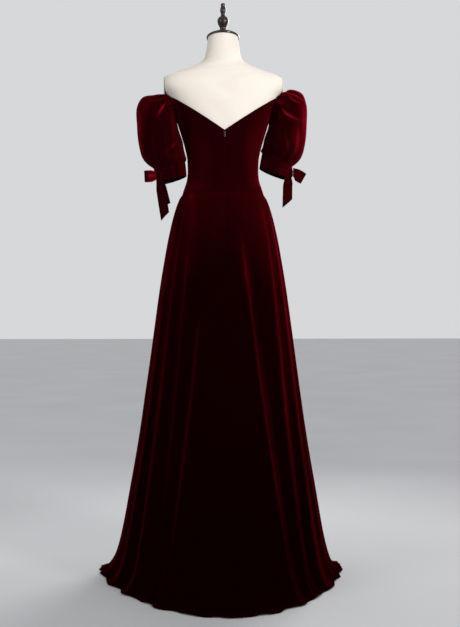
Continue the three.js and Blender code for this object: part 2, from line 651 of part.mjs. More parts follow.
// A bow loop: a ribbon doubled back on itself, as a flat tube whose rows cross the ribbon's width.
function bowLoop(knot, loop) {
  const dip = radians(loop.dip);
  const turn = radians(loop.turn);
  const out = new Vector3(cos(turn) * cos(dip), sin(turn) * cos(dip), -sin(dip));
  const across = new Vector3(-sin(turn), cos(turn), 0);
  const up = out.clone().cross(across);
  const { columns, rows } = loopSize;
  const grid = [];
  for (let i = 0; i <= rows; i += 1) {
    const height = mix(0.5, -0.5, i / rows);
    const row = [];
    for (let j = 0; j < columns; j += 1) {
      const around = (-2 * PI * j) / columns;
      const reach = (1 - cos(around)) / 2;
      const swell = mix(loopSize.rootSwell, loopSize.swell, smooth(0, 0.8, reach));
      const squeeze = mix(loopSize.rootWidth, 1, smooth(0, 0.45, reach));
      const curl = new Vector3(0, loop.bend * reach ** 2, loop.rise);
      const widthways = new Vector3(0, 0, 1).lerp(up, smooth(0, 0.6, reach)).normalize();
      row.push(
        new Vector3(knot.x, knot.y, knot.z)
          .addScaledVector(out, mix(loop.root, loop.length, reach))
          .addScaledVector(across, swell * sin(around))
          .addScaledVector(widthways, height * loopSize.width * squeeze)
          .add(curl),
      );
    }
    grid.push(row);
  }
  return grid;
}

// A tail: a flat ribbon that leaves the foot of the knot and hangs, with its end cut on the slant.
function bowTail(knot, facing, tail) {
  const front = new Vector3(cos(radians(facing)), sin(radians(facing)), 0);
  const { columns, rows } = tailForm;
  const start = tailForm.start * knotSize.high + seamGap;
  const grid = [];
  for (let i = 0; i <= rows; i += 1) {
    const row = [];
    for (let j = 0; j <= columns; j += 1) {
      const share = j / columns;
      const down = (i / rows) * (tail.long - tail.cut * share) + start;
      const fall = i / rows;
      const width = tail.width * mix(tailForm.rootWidth, 1, smooth(0, 0.3, fall));
      const middle = knot.x + tail.aside + tail.lean * down;
      const turned = radians(facing + 90 + tail.turn * fall);
      const side = new Vector3(cos(turned), sin(turned), 0);
      const curl = tailForm.curl * sin(PI * share) * smooth(0.1, 0.6, fall);
      row.push(
        new Vector3(middle, knot.y, knot.z - down)
          .addScaledVector(side, (share - 0.5) * width)
          .addScaledVector(front, curl + tail.stand + tail.out * down),
      );
    }
    grid.push(row);
  }
  return grid;
}

function bowKnot(knot, facing) {
  const front = new Vector3(cos(radians(facing)), sin(radians(facing)), 0);
  const side = new Vector3(-front.y, front.x, 0);
  const rings = [];
  for (const level of knotLevels) {
    const girth = (1 - abs(level) ** 3) ** (1 / 3);
    const ring = [];
    for (let j = 0; j < knotColumns; j += 1) {
      const around = (2 * PI * j) / knotColumns;
      const waist = 1 - knotSize.pinch * bell(level * knotSize.pinchSpread);
      ring.push(
        new Vector3(knot.x, knot.y, knot.z + (level * knotSize.high) / 2)
          .addScaledVector(side, (cos(around) * knotSize.wide * girth * waist) / 2)
          .addScaledVector(front, (sin(around) * knotSize.deep * girth) / 2),
      );
    }
    rings.push(ring.reverse());
  }
  return loft(rings);
}

function addBow(name, bow) {
  const { ribbon: satin } = materials;
  add(`bow_knot_${name}`, bowKnot(bow.knot, bow.facing), satin);
  for (const loop of bow.loops) {
    add(`bow_loop_${loop.name}_${name}`, wall(bowLoop(bow.knot, loop), ribbon, { closed: true }), satin);
  }
  for (const tail of bow.tails) {
    add(`bow_tail_${tail.name}_${name}`, wall(bowTail(bow.knot, bow.facing, tail), ribbon), satin);
  }
}

// The zip: a narrow chain in the slot of the back seam, a slider at its top and a hinged pull.
function addZip() {
  const rows = zipRows;
  const grid = [];
  for (let i = 0; i <= rows; i += 1) {
    const z = mix(zipTop, zipEnd + zipStop, i / rows);
    const p = z > waistSeam ? bodicePoint(0, z) : skirtPoint(0, dropAt(z));
    grid.push([-1, 1].map((side) => new Vector3((side * zipWidth) / 2, p.y, p.z)));
  }
  add("zip_chain", wall(grid, chainThick), materials.zip);

  const y = bodicePoint(0, zipTop).y - cloth / 2 - seamGap;
  const foot = zipTop - slider.high;
  const body = new THREE.BoxGeometry(slider.wide, slider.deep, slider.high);
  body.translate(0, y - slider.deep / 2, foot + slider.high / 2);
  const face = y - slider.deep;
  const half = bridge.hole / 2;
  const barY = face - half;
  const barZ = foot + bridge.rise * slider.high;
  const reach = half + bridge.bar;
  const arch = new THREE.Shape();
  arch.moveTo(face + bridge.sunk, barZ + reach).lineTo(barY, barZ + reach);
  arch.absarc(barY, barZ, reach, PI / 2, (3 * PI) / 2, false);
  arch.lineTo(face + bridge.sunk, barZ - reach);
  const gap = new THREE.Path();
  gap.moveTo(face + bridge.sunk / 2, barZ - half).lineTo(barY, barZ - half);
  gap.absarc(barY, barZ, half, (3 * PI) / 2, PI / 2, true);
  gap.lineTo(face + bridge.sunk / 2, barZ + half);
  arch.holes.push(gap);
  const arched = sideways(arch, bridge.wide);
  add("zip_slider", fromManifold(toManifold(body).add(toManifold(arched))), materials.metal);

  const w = pull.wide / 2;
  const outline = new THREE.Shape();
  outline.moveTo(-w, pull.bar / 2).lineTo(-w, -pull.length + w);
  outline.absarc(0, -pull.length + w, w, PI, 2 * PI, false);
  outline.lineTo(w, pull.bar / 2);
  const eye = new THREE.Path();
  const e = pull.eyeWide / 2;
  eye.moveTo(-e, -pull.bar / 2).lineTo(e, -pull.bar / 2);
  eye.lineTo(e, -pull.bar / 2 - pull.eyeHigh).lineTo(-e, -pull.bar / 2 - pull.eyeHigh);
  outline.holes.push(eye);
  const plate = extruded(outline, pull.thick, 6);
  plate.rotateX(PI / 2).translate(0, barY + pull.thick / 2, barZ);
  add("zip_pull", plate, materials.metal);
}

function extruded(shape, depth, curveSegments) {
  return new THREE.ExtrudeGeometry(shape, { depth, bevelEnabled: false, curveSegments });
}

// A shape drawn in Y and Z, given a width across X.
function sideways(shape, width) {
  const turn = new THREE.Matrix4().set(0, 0, 1, -width / 2, 1, 0, 0, 0, 0, 1, 0, 0, 0, 0, 0, 1);
  return extruded(shape, width, 5).applyMatrix4(turn);
}

// The distance down the cloth at which the skirt has a height.
function dropAt(z) {
  return along(profile.slice(0, -1), "z", z, "drop");
}

// The form: the torso with flat sides, an oval plate on each, the neck cap and its turned knob.
function addForm() {
  const formSurface = (angle, z) => bodyPoint(angle, z, formBust);
  const columns = formColumns;
  const rings = bodySections.map(({ z }) => {
    const ring = [];
    for (let j = 0; j < columns; j += 1) {
      ring.push(movedOut(formSurface, (2 * PI * j) / columns, z, -formInset));
    }
    return ring;
  });
  const slab = new THREE.BoxGeometry(2 * armFace, 600, 2000).translate(0, 0, 1000);
  const torso = toManifold(loft(rings)).intersect(toManifold(slab));
  add("form_torso", fromManifold(torso), materials.cover);

  for (const [name, side] of [["right", 1], ["left", -1]]) {
    const plate = new THREE.CylinderGeometry(1, 1, armPlate.thick, 24);
    plate.scale(armPlate.halfHeight, 1, armPlate.halfDepth).rotateZ(PI / 2);
    plate.translate(side * (armFace + seamGap + armPlate.thick / 2), armPlate.forward, armPlate.height);
    add(`form_arm_plate_${name}`, plate, materials.cover);
  }

  const cap = turned(capProfile, 24);
  cap.rotateX(-Math.atan(neckTilt)).translate(0, capForward, neckTop + seamGap - capForward * neckTilt);
  add("form_neck_cap", cap, materials.wood);
  add("form_finial", turned(finialProfile, 16), materials.wood);
}

// A turned solid from a profile of radii and heights.
function turned(rows, segments) {
  const outline = [new THREE.Vector2(0, rows[0].z), ...rows.map(({ r, z }) => new THREE.Vector2(r, z))];
  outline.push(new THREE.Vector2(0, rows[rows.length - 1].z));
  return new THREE.LatheGeometry(outline, segments).rotateX(PI / 2);
}

function addStand() {
  const foot = [
    { r: base.radius, z: 0 },
    { r: base.radius, z: base.rim },
    { r: base.radius - base.slope, z: base.rim + base.step },
    { r: base.collar + base.fillet, z: base.thick },
    { r: base.collar, z: base.thick + base.step },
    { r: base.collar - base.step, z: base.collarTop },
  ];
  add("stand_base", turned(foot, 36), materials.steel);
  const poleRows = [
    { r: pole.radius, z: base.collarTop + seamGap },
    { r: pole.radius, z: torsoBottom - seamGap },
  ];
  add("stand_pole", turned(poleRows, 20), materials.steel);
}

addBodice();
addSkirt();
for (const [name, sleeve] of Object.entries(sleeves)) addSleeve(name, sleeve);
for (const [name, bow] of Object.entries(bows)) addBow(name, bow);
addZip();
addForm();
addStand();

export default group;
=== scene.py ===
# A floor-length velvet prom dress on a limbless dress form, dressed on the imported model's frame.
# Sizes are in millimetres, as in the part's source, and putMesh turns them into metres.
# The back of the dress, with its zip, faces -Y, and +X is the wearer's right.
# An angle round the body is 0 at the centre back, 90 at the wearer's right side and 180 at the front.
import math

import bmesh
import bpy
import numpy as np
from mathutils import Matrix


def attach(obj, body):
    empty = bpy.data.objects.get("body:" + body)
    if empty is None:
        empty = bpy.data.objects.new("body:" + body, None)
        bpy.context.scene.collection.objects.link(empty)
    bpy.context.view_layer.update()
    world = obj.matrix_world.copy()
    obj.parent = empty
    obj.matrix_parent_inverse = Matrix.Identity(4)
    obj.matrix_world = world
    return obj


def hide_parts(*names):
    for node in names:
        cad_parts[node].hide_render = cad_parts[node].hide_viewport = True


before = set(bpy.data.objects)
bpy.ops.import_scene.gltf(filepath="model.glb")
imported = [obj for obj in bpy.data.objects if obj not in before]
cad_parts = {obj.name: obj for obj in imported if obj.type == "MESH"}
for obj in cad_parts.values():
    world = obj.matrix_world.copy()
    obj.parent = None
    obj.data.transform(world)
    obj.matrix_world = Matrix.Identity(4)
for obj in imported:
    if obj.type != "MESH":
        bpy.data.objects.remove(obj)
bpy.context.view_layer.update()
print("frame loaded:", len(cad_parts), "nodes")

mm = 0.001
cloth = {"thick": 2.0, "seamGap": 0.06, "formGap": 0.8}
plateGap = 0.3
ribbon = {"thick": 1.6}
waistSeam = 1149.5
# A ridge is measured against the cloth so far to each side of it. A painted sheen, a highlight painted
# into the velvet's colour, grows on it by gain for each millimetre above from, and by onCrease for each
# millimetre of a crease.
ridgeSheenPaint = {"reach": 8.0, "gain": 0.12, "from": 1.0, "onCrease": 0.05}


# A short table as named columns, a row of numbers for each section.
def table(columns, *rows):
    return {name: np.array([row[i] for row in rows], float) for i, name in enumerate(columns.split())}


def rowsOf(rows):
    return [dict(zip(rows, values)) for values in zip(*rows.values())]


# The figure, as level sections: half width, depth to the back and to the front, and squareness.
bodySections = table(
    "z width back front square",
    (860, 148, 110, 92, 2.2),
    (940, 156, 117, 98, 2.2),
    (1011, 153, 114, 99, 2.2),
    (1065, 143, 104, 97, 2.2),
    (1119, 128, 91, 93, 2.2),
    (1160, 114.5, 82, 89, 2.2),
    (1191, 105, 77, 86, 2.2),
    (1215, 103, 76, 86, 2.2),
    (1247, 104, 79, 89, 2.25),
    (1281, 110, 85, 96, 2.3),
    (1317, 120, 91, 101, 2.4),
    (1347, 129.5, 94, 99, 2.5),
    (1380, 140, 95, 93, 2.6),
    (1412, 152, 94, 86, 2.7),
    (1437, 166, 90, 79, 2.8),
    (1455, 180, 86, 74, 2.8),
    (1470, 186, 82, 70, 2.8),
    (1484, 184, 77, 65, 2.8),
    (1494, 178, 72, 60, 2.7),
    (1502, 165, 68, 56, 2.6),
    (1510, 143, 64, 54, 2.5),
    (1519, 118, 60, 53, 2.3),
    (1529, 94, 55, 53, 2.1),
    (1539, 72, 50, 54, 2),
    (1550, 60, 46, 55, 2),
    (1565, 54, 43, 55, 2),
    (1590, 49.5, 42, 53, 2),
    (1617, 46, 41, 51, 2),
)
bust = {"height": 20, "side": 50, "spread": 41, "level": 1314, "rise": 46}
neck = {"top": 1617, "tilt": 0.16, "tiltFrom": 1555, "capForward": 5, "capGap": 0.06}


# 0 below low, 1 above high, and an even S between them.
def smooth(low, high, x):
    t = np.clip((x - low) / (high - low), 0, 1)
    return t * t * (3 - 2 * t)


# A bell curve, 1 in the middle.
def bell(x):
    return np.exp(-x * x)


# The point a share t of the way from a to b.
def mix(a, b, t):
    return a + (b - a) * t


# A column's value where the place column is at: a cubic through the rows with no overshoot,
# whose slope at a row is the harmonic mean of the slopes on both sides.
def along(rows, place, at, column):
    x, y = rows[place], rows[column]
    if x[-1] < x[0]:
        x, y = x[::-1], y[::-1]
    slope = np.diff(y) / np.diff(x)
    before, after = slope[:-1], slope[1:]
    same = before * after > 0
    inner = np.where(same, 2 * before * after / np.where(same, before + after, 1), 0)
    tangent = np.concatenate([slope[:1], inner, slope[-1:]])
    i = np.clip(np.searchsorted(x, at) - 1, 0, len(x) - 2)
    step = x[i + 1] - x[i]
    t = np.clip((at - x[i]) / step, 0, 1)
    value = y[i] * (2 * t**3 - 3 * t**2 + 1) + y[i + 1] * (3 * t**2 - 2 * t**3)
    return value + step * (tangent[i] * (t**3 - 2 * t**2 + t) + tangent[i + 1] * (t**3 - t**2))


# A level section: x is width times sin to the power 2/square, and y is depth times cos to the same power.
def onSection(section, angle, swell=0.0):
    s, c = np.sin(angle), np.cos(angle)
    power = 2 / section["square"]
    depth = np.where(c > 0, section["back"], section["front"])
    taper = np.where(c > 0, section.get("taper", 1), 1)
    x = (section["width"] + swell) * np.sign(s) * np.abs(s) ** power
    y = section.get("shift", 0) - (depth + swell) * np.sign(c) * np.abs(c) ** (power * taper)
    return np.stack(np.broadcast_arrays(x, y, section["z"]), axis=-1)


def bodySection(z):
    section = {name: along(bodySections, "z", z, name) for name in ("width", "back", "front", "square")}
    return {"z": z, **section}


# The figure's surface: its section, with two bells forward for the bust and a tilt at the neck's top.
def bodyPoint(angle, z, bustShare=1.0):
    p = onSection(bodySection(z), angle)
    cups = sum(bell((p[..., 0] - side) / bust["spread"]) for side in (bust["side"], -bust["side"]))
    forward = smooth(0, 0.5, -np.cos(angle)) * bell((z - bust["level"]) / bust["rise"])
    p[..., 1] += bustShare * bust["height"] * forward * cups
    p[..., 2] -= p[..., 1] * neck["tilt"] * smooth(neck["tiltFrom"], neck["top"], z)
    return p


# A surface's point at (u, v), moved out along its normal, which is the cross of its two slopes.
def movedOut(surface, u, v, distance, stepU=0.01, stepV=0.5):
    alongU = surface(u + stepU, v) - surface(u - stepU, v)
    alongV = surface(u, v + stepV) - surface(u, v - stepV)
    normal = np.cross(alongU, alongV)
    return surface(u, v) + distance * normal / np.linalg.norm(normal, axis=-1, keepdims=True)


def bodicePoint(angle, z):
    return movedOut(bodyPoint, angle, z, cloth["formGap"] + cloth["thick"] / 2)


# Distance down each column from its first row, and across each row from its first column.
def lengthsDown(grid):
    steps = np.linalg.norm(np.diff(grid, axis=0), axis=2)
    return np.concatenate([np.zeros((1, grid.shape[1])), np.cumsum(steps, axis=0)])


def lengthsAcross(grid):
    return lengthsDown(grid.swapaxes(0, 1)).T


# Even shares of a length, with three more close to each end for the cloth's rounded edge.
def shares(count, length, thick):
    close = np.array([0, 0.14, 0.5, 1.0]) * thick / 2 / length
    return np.concatenate([close, np.linspace(0, 1, count + 1)[1:-1], 1 - close[::-1]])


# Unit normals of a grid whose rows run down and whose columns run anticlockwise from above.
def normalsOf(grid, closed=False):
    down = np.gradient(grid, axis=0)
    across = np.roll(grid, -1, axis=1) - np.roll(grid, 1, axis=1) if closed else np.gradient(grid, axis=1)
    normal = np.cross(down, across)
    return normal / np.maximum(np.linalg.norm(normal, axis=2, keepdims=True), 1e-9)


def raised(grid, amount, closed=False):
    return grid + normalsOf(grid, closed) * amount[..., None]


# Soft creases seen from the back (face -1) or the front (face 1): each is a bell round a curve with
# three points (x1, z1), (x2, z2), (x3, z3), fading to nothing at both ends. A painted highlight lies on
# them.
def creased(grid, creases, closed=False, side=1):
    total = np.zeros(grid.shape[:2])
    t = np.linspace(0, 1, 25)
    for row in creases:
        x1, z1, x2, z2, x3, z3, spread, height, face = row
        x = side * ((1 - t) ** 2 * x1 + 2 * t * (1 - t) * x2 + t * t * x3)
        z = (1 - t) ** 2 * z1 + 2 * t * (1 - t) * z2 + t * t * z3
        far = np.hypot(grid[..., 0, None] - x, grid[..., 2, None] - z)
        nearest = far.argmin(axis=2)
        fade = np.sin(np.pi * np.clip(t[nearest], 0.04, 0.96)) ** 0.7
        seen = smooth(-4, 14, face * grid[..., 1])
        total += height * fade * bell(far.min(axis=2) / spread) * seen
    return raised(grid, total, closed), ridgeSheenPaint["onCrease"] * total


# How far a grid stands out from the average of its places some way to each side along a row, in
# millimetres: above nothing on a ridge and below it in a hollow.
def ridgesOf(grid, reach, closed=False):
    width = lengthsAcross(grid)[:, -1:].mean()
    step = max(1, round(reach * grid.shape[1] / width))
    if closed:
        before, after = np.roll(grid, step, axis=1), np.roll(grid, -step, axis=1)
    else:
        wide = np.pad(grid, ((0, 0), (step, step), (0, 0)), mode="reflect", reflect_type="odd")
        before, after = wide[:, :-2 * step], wide[:, 2 * step:]
    return ((grid - (before + after) / 2) * normalsOf(grid, closed)).sum(axis=2)


# How much painted sheen lies on a ridge, from 0 to 1: a highlight that grows evenly with the height of a
# ridge over its sides.
def paintedRidgeSheen(grid, closed=False):
    return np.clip((ridgesOf(grid, ridgeSheenPaint["reach"], closed) - ridgeSheenPaint["from"]) * ridgeSheenPaint["gain"], 0, 0.6)


# Soft patches seen from the back of painted highlight, or of painted shade where the amount is negative:
# each is a bell round a place, so wide and so high.
def paintedPatches(grid, patches, side=1):
    total = np.zeros(grid.shape[:2])
    for x, z, wide, high, amount in patches:
        far = np.hypot((grid[..., 0] - side * x) / wide, (grid[..., 2] - z) / high)
        total += amount * bell(far)
    return total * smooth(14, -4, grid[..., 1])


def putObject(name, data):
    made = bpy.data.objects.new(name, data)
    bpy.context.scene.collection.objects.link(made)
    return made


# Hides the CAD node that a piece stands for.
def standsFor(piece, node):
    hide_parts(node)


def putMesh(name, points, quads, triangles=(), uv=None, materials=(), inside=None, body="dress", paintedShading=None):
    mesh = bpy.data.meshes.new(name)
    faces = np.asarray(quads).tolist() + [list(t) for t in triangles]
    mesh.from_pydata((np.asarray(points) * mm).tolist(), [], faces)
    mesh.polygons.foreach_set("use_smooth", np.ones(len(mesh.polygons), bool))
    if uv is not None:
        layer = mesh.uv_layers.new(name="cloth")
        layer.data.foreach_set("uv", (np.asarray(uv, float) * mm).ravel())
    if paintedShading is not None:
        openness = mesh.attributes.new("paintedShading", "FLOAT", "POINT")
        openness.data.foreach_set("value", np.asarray(paintedShading, np.float32))
    for material in materials:
        mesh.materials.append(material)
    if inside is not None:
        mesh.polygons.foreach_set("material_index", np.asarray(inside, np.int32))
    mesh.update()
    piece = putObject(name, mesh)
    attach(piece, body)
    return piece


# The four corners of each cell of a grid, going down first.
def cellCorners(grid):
    return [grid[:-1, :-1], grid[1:, :-1], grid[1:, 1:], grid[:-1, 1:]]


# A thin wall of cloth on a grid of its middle: an outer and an inner skin that meet in a rounded edge,
# where half the thickness shrinks as a quarter circle does, or as a far squarer curve at a sewn edge.
# Its map holds distances on the cloth, and its point attribute the painted sheen and shade for the velvet's
# colour. level gives the height at which a sewn edge ends flat, which the last millimetre of both skins is
# drawn to.
def clothMesh(name, grid, thick, materials, closed=False, floor=None, sewn="", paintedShading=None, level=None):
    rows, columns = grid.shape[:2]
    wide = np.concatenate([grid, grid[:, :1]], axis=1) if closed else grid
    down, across = lengthsDown(wide), lengthsAcross(wide)
    edges = {"top": down, "foot": down[-1] - down}
    if not closed:
        edges.update(start=across, end=across[:, -1:] - across)
    radius = thick / 2
    half = np.full((rows, columns), radius)
    for edge, far in edges.items():
        power = 8 if edge in sewn.split() else 2
        inward = 1 - np.clip(far[:, :columns] / radius, 0, 1)
        half = np.minimum(half, radius * (1 - inward**power) ** (1 / power))
    normal = normalsOf(grid, closed)
    outer, inner = grid + normal * half[..., None], grid - normal * half[..., None]
    for edge, z in (level or {}).items():
        near, way = (slice(0, 4), -1) if edge == "top" else (slice(-4, None), 1)
        far = edges[edge][near, :columns]
        share = 1 - smooth(0.3, 1.2, far)
        for skin in (outer, inner):
            skin[near, :, 2] = mix(skin[near, :, 2], z + way * far, share)
    if floor is not None:
        outer[..., 2] = np.maximum(outer[..., 2], floor + 2 * half + 0.1)
        inner[..., 2] = np.maximum(inner[..., 2], floor + 0.1)
    index = np.arange(rows * columns).reshape(rows, columns)
    doubled = half > 1e-6
    innerIndex = np.where(doubled, rows * columns - 1 + np.cumsum(doubled).reshape(rows, columns), index)
    points = np.concatenate([outer.reshape(-1, 3), inner[doubled]])
    # Painted sheen on the ridges, unless the caller gives its own painted sheen and shade.
    paintedShading = paintedRidgeSheen(grid, closed) if paintedShading is None else paintedShading
    paintedShading = np.concatenate([paintedShading.ravel(), paintedShading[doubled]])
    flat = np.stack([across - across[:, [across.shape[1] // 2]], -down], axis=2)
    quads, corners = [], []
    for skin, order in ((index, (0, 1, 2, 3)), (innerIndex, (0, 3, 2, 1))):
        skin = np.concatenate([skin, skin[:, :1]], axis=1) if closed else skin
        quad, place = cellCorners(skin), cellCorners(flat)
        quads.append(np.stack([quad[k] for k in order], axis=-1).reshape(-1, 4))
        corners.append(np.stack([place[k] for k in order], axis=2).reshape(-1, 4, 2))
    inside = np.repeat([0, len(materials) - 1], [len(quads[0]), len(quads[1])])
    quads, corners = np.concatenate(quads), np.concatenate(corners)
    return putMesh(name, points, quads, uv=corners, materials=materials, inside=inside, paintedShading=paintedShading)


# A solid through closed rings, each end closed with a fan round its middle point.
def solidMesh(name, grid, material, body="dress"):
    rows, columns = grid.shape[:2]
    index = np.arange(rows * columns).reshape(rows, columns)
    index = np.concatenate([index, index[:, :1]], axis=1)
    quads = np.stack(cellCorners(index), axis=-1).reshape(-1, 4)
    points = np.concatenate([grid.reshape(-1, 3), grid[:1].mean(axis=1), grid[-1:].mean(axis=1)])
    top, foot = rows * columns, rows * columns + 1
    fans = [(top, a, b) for a, b in zip(index[0, :-1].tolist(), index[0, 1:].tolist())]
    fans += [(foot, b, a) for a, b in zip(index[-1, :-1].tolist(), index[-1, 1:].tolist())]
    wide = np.concatenate([grid, grid[:, :1]], axis=1)
    flat = np.stack([lengthsAcross(wide), -lengthsDown(wide)], axis=2)
    corners = np.stack(cellCorners(flat), axis=2).reshape(-1, 2)
    fanCorners = np.zeros((3 * len(fans), 2))
    return putMesh(name, points, quads, fans, np.concatenate([corners, fanCorners]), [material], body=body)


def newMaterial(name):
    material = bpy.data.materials.new(name)
    material.use_nodes = True
    return material, material.node_tree, material.node_tree.nodes["Principled BSDF"]


def addNode(tree, kind, settings=None, inputs=None):
    node = tree.nodes.new(kind)
    for key, value in (settings or {}).items():
        setattr(node, key, value)
    for key, value in (inputs or {}).items():
        if isinstance(value, bpy.types.NodeSocket):
            tree.links.new(value, node.inputs[key])
        else:
            node.inputs[key].default_value = value
    return node


# The cloth's own map in metres, stretched by so much along and across the pile.
def clothPlace(tree, across, down):
    place = addNode(tree, "ShaderNodeUVMap", {"uv_map": "cloth"})
    inputs = {"Vector": place.outputs["UV"], "Scale": (across, down, 1)}
    return addNode(tree, "ShaderNodeMapping", inputs=inputs).outputs[0]


def addNoise(tree, vector, scale, detail=2.0, roughness=0.5):
    inputs = {"Vector": vector, "Scale": scale, "Detail": detail, "Roughness": roughness}
    return addNode(tree, "ShaderNodeTexNoise", inputs=inputs).outputs["Fac"]


def addRamp(tree, factor, stops):
    ramp = addNode(tree, "ShaderNodeValToRGB", inputs={"Fac": factor})
    elements = ramp.color_ramp.elements
    for place, color in stops[1:-1]:
        elements.new(place).color = (*color, 1)
    elements[0].position, elements[-1].position = stops[0][0], stops[-1][0]
    elements[0].color, elements[-1].color = (*stops[0][1], 1), (*stops[-1][1], 1)
    return ramp.outputs["Color"]


def addMath(tree, operation, a, b):
    return addNode(tree, "ShaderNodeMath", {"operation": operation}, {0: a, 1: b}).outputs[0]


# A value times a share, plus a shift.
def addScaled(tree, value, share, shift):
    inputs = {0: value, 1: share, 2: shift}
    return addNode(tree, "ShaderNodeMath", {"operation": "MULTIPLY_ADD"}, inputs).outputs[0]


# The piece's own coordinates, finer by so much along each axis.
def objectPlace(tree, scale=None):
    place = addNode(tree, "ShaderNodeTexCoord").outputs["Object"]
    if scale is None:
        return place
    return addNode(tree, "ShaderNodeMapping", inputs={"Vector": place, "Scale": scale}).outputs[0]


# Gives a shader its colour, its plain settings and its bumps, as height, distance and strength.
def finishLook(tree, shader, color, settings, bumps):
    tree.links.new(color, shader.inputs["Base Color"])
    for key, value in settings.items():
        shader.inputs[key].default_value = value
    normal = None
    for height, distance, strength in bumps:
        inputs = {"Height": height, "Distance": distance, "Strength": strength}
        if normal is not None:
            inputs["Normal"] = normal
        normal = addNode(tree, "ShaderNodeBump", inputs=inputs).outputs["Normal"]
    tree.links.new(normal, shader.inputs["Normal"])


# The ramp runs from deep through middle to bright, the colour of painted highlight. edge is how strongly the
# painted rim sheen follows the facing angle, and lift raises the whole ramp.
velvetLook = {
    "deep": (0.0046, 0.0001, 0.0003),
    "middle": (0.03, 0.0004, 0.0014),
    "bright": (0.17, 0.0022, 0.0085),
    "sheen": (0.9, 0.006, 0.04),
    "sheenWeight": 0.08,
    "edge": 0.3,
    "patches": 0.16,
    "streaks": 0.07,
    "lift": 0.0,
}
# The bodice and sleeves take a lighter copy of the same velvet, with a stronger painted rim sheen and
# patches: painted light for the brighter upper dress.
litUpperLook = {
    **velvetLook,
    "deep": (0.0094, 0.0002, 0.0006),
    "sheenWeight": 0.12,
    "edge": 0.6,
    "patches": 0.42,
}
# The ribbon's copy is lighter still, with a lift: painted light.
litRibbonLook = {**litUpperLook, "middle": (0.036, 0.0006, 0.002), "bright": (0.24, 0.003, 0.012), "lift": 0.01}


# Pile velvet: dark where it is seen straight on and red where it turns away, a painted rim sheen, and
# lighter or darker as its painted sheen and shade attribute says, with soft patches where it lies another
# way, streaks along the nap and a fine bump.
def velvetMaterial(name, look):
    material, tree, shader = newMaterial(name)
    # Painted rim sheen: the base colour lightens as the surface turns away from the camera.
    facing = addNode(tree, "ShaderNodeLayerWeight", inputs={"Blend": 0.42}).outputs["Facing"]
    patches = addNoise(tree, clothPlace(tree, 7, 2.6), 1.0, 3.0, 0.55)
    streaks = addNoise(tree, clothPlace(tree, 420, 34), 1.0, 2.0, 0.6)
    nap = addNoise(tree, clothPlace(tree, 1500, 900), 1.0, 2.0, 0.6)
    # The mesh's painted sheen and shade attribute.
    paintedShading = addNode(tree, "ShaderNodeAttribute", {"attribute_name": "paintedShading"}).outputs["Fac"]
    # The ramp's input adds the painted rim sheen, the painted sheen and shade attribute, and the pile's
    # random patches and streaks.
    turned = addMath(tree, "ADD", addScaled(tree, facing, look["edge"], look["lift"]), paintedShading)
    for noise, share in ((patches, look["patches"]), (streaks, look["streaks"])):
        turned = addMath(tree, "ADD", turned, addScaled(tree, noise, share, -share / 2))
    color = addRamp(tree, turned, [(0.06, look["deep"]), (0.35, look["middle"]), (0.85, look["bright"])])
    settings = {
        "Roughness": 0.85,
        "Specular IOR Level": 0.0,
        "Sheen Weight": look["sheenWeight"],
        "Sheen Roughness": 0.3,
        "Sheen Tint": (*look["sheen"], 1),
    }
    bumps = [(patches, 0.004, 0.25), (streaks, 0.0004, 0.4), (nap, 0.0003, 0.5)]
    finishLook(tree, shader, color, settings, bumps)
    return material


# The velvet's back: a close matt knit, as fine ribs along and across.
def backingMaterial():
    material, tree, shader = newMaterial("velvetBack")
    ribs = addNode(tree, "ShaderNodeTexWave", inputs={"Vector": clothPlace(tree, 1, 0.4), "Scale": 260.0})
    speckle = addNoise(tree, clothPlace(tree, 900, 900), 1.0)
    color = addRamp(tree, speckle, [(0.3, (0.010, 0.0008, 0.0016)), (0.7, (0.026, 0.0016, 0.0036))])
    settings = {"Roughness": 0.95, "Specular IOR Level": 0.1}
    finishLook(tree, shader, color, settings, [(ribs.outputs["Fac"], 0.0002, 0.5)])
    return material


# Cream jersey: rows of knit loops as two crossed waves, with faint wear in the colour.
def jerseyMaterial():
    material, tree, shader = newMaterial("creamJersey")
    place = clothPlace(tree, 1, 1)
    across = addNode(tree, "ShaderNodeTexWave", {"bands_direction": "X"}, {"Vector": place, "Scale": 250.0})
    down = addNode(tree, "ShaderNodeTexWave", {"bands_direction": "Y"}, {"Vector": place, "Scale": 330.0})
    loops = addMath(tree, "MULTIPLY", across.outputs["Fac"], down.outputs["Fac"])
    worn = addNoise(tree, clothPlace(tree, 9, 7), 1.0, 4.0)
    color = addRamp(tree, worn, [(0.25, (0.54, 0.485, 0.43)), (0.75, (0.60, 0.55, 0.495))])
    settings = {
        "Roughness": 0.85,
        "Specular IOR Level": 0.25,
        "Sheen Weight": 0.15,
        "Sheen Tint": (1, 0.95, 0.88, 1),
    }
    finishLook(tree, shader, color, settings, [(worn, 0.002, 0.15), (loops, 0.00025, 0.6)])
    return material


# Dark lacquered wood: turned grain as stretched noise under a thin clear coat.
def woodMaterial():
    material, tree, shader = newMaterial("darkWood")
    grain = addNoise(tree, objectPlace(tree, (260, 260, 28)), 1.0, 4.0, 0.65)
    stops = [(0.3, (0.006, 0.003, 0.0022)), (0.62, (0.017, 0.0075, 0.0045)), (0.8, (0.036, 0.016, 0.009))]
    settings = {"Roughness": 0.42, "Specular IOR Level": 0.2, "Coat Weight": 0.3, "Coat Roughness": 0.12}
    finishLook(tree, shader, addRamp(tree, grain, stops), settings, [(grain, 0.0003, 0.35)])
    return material


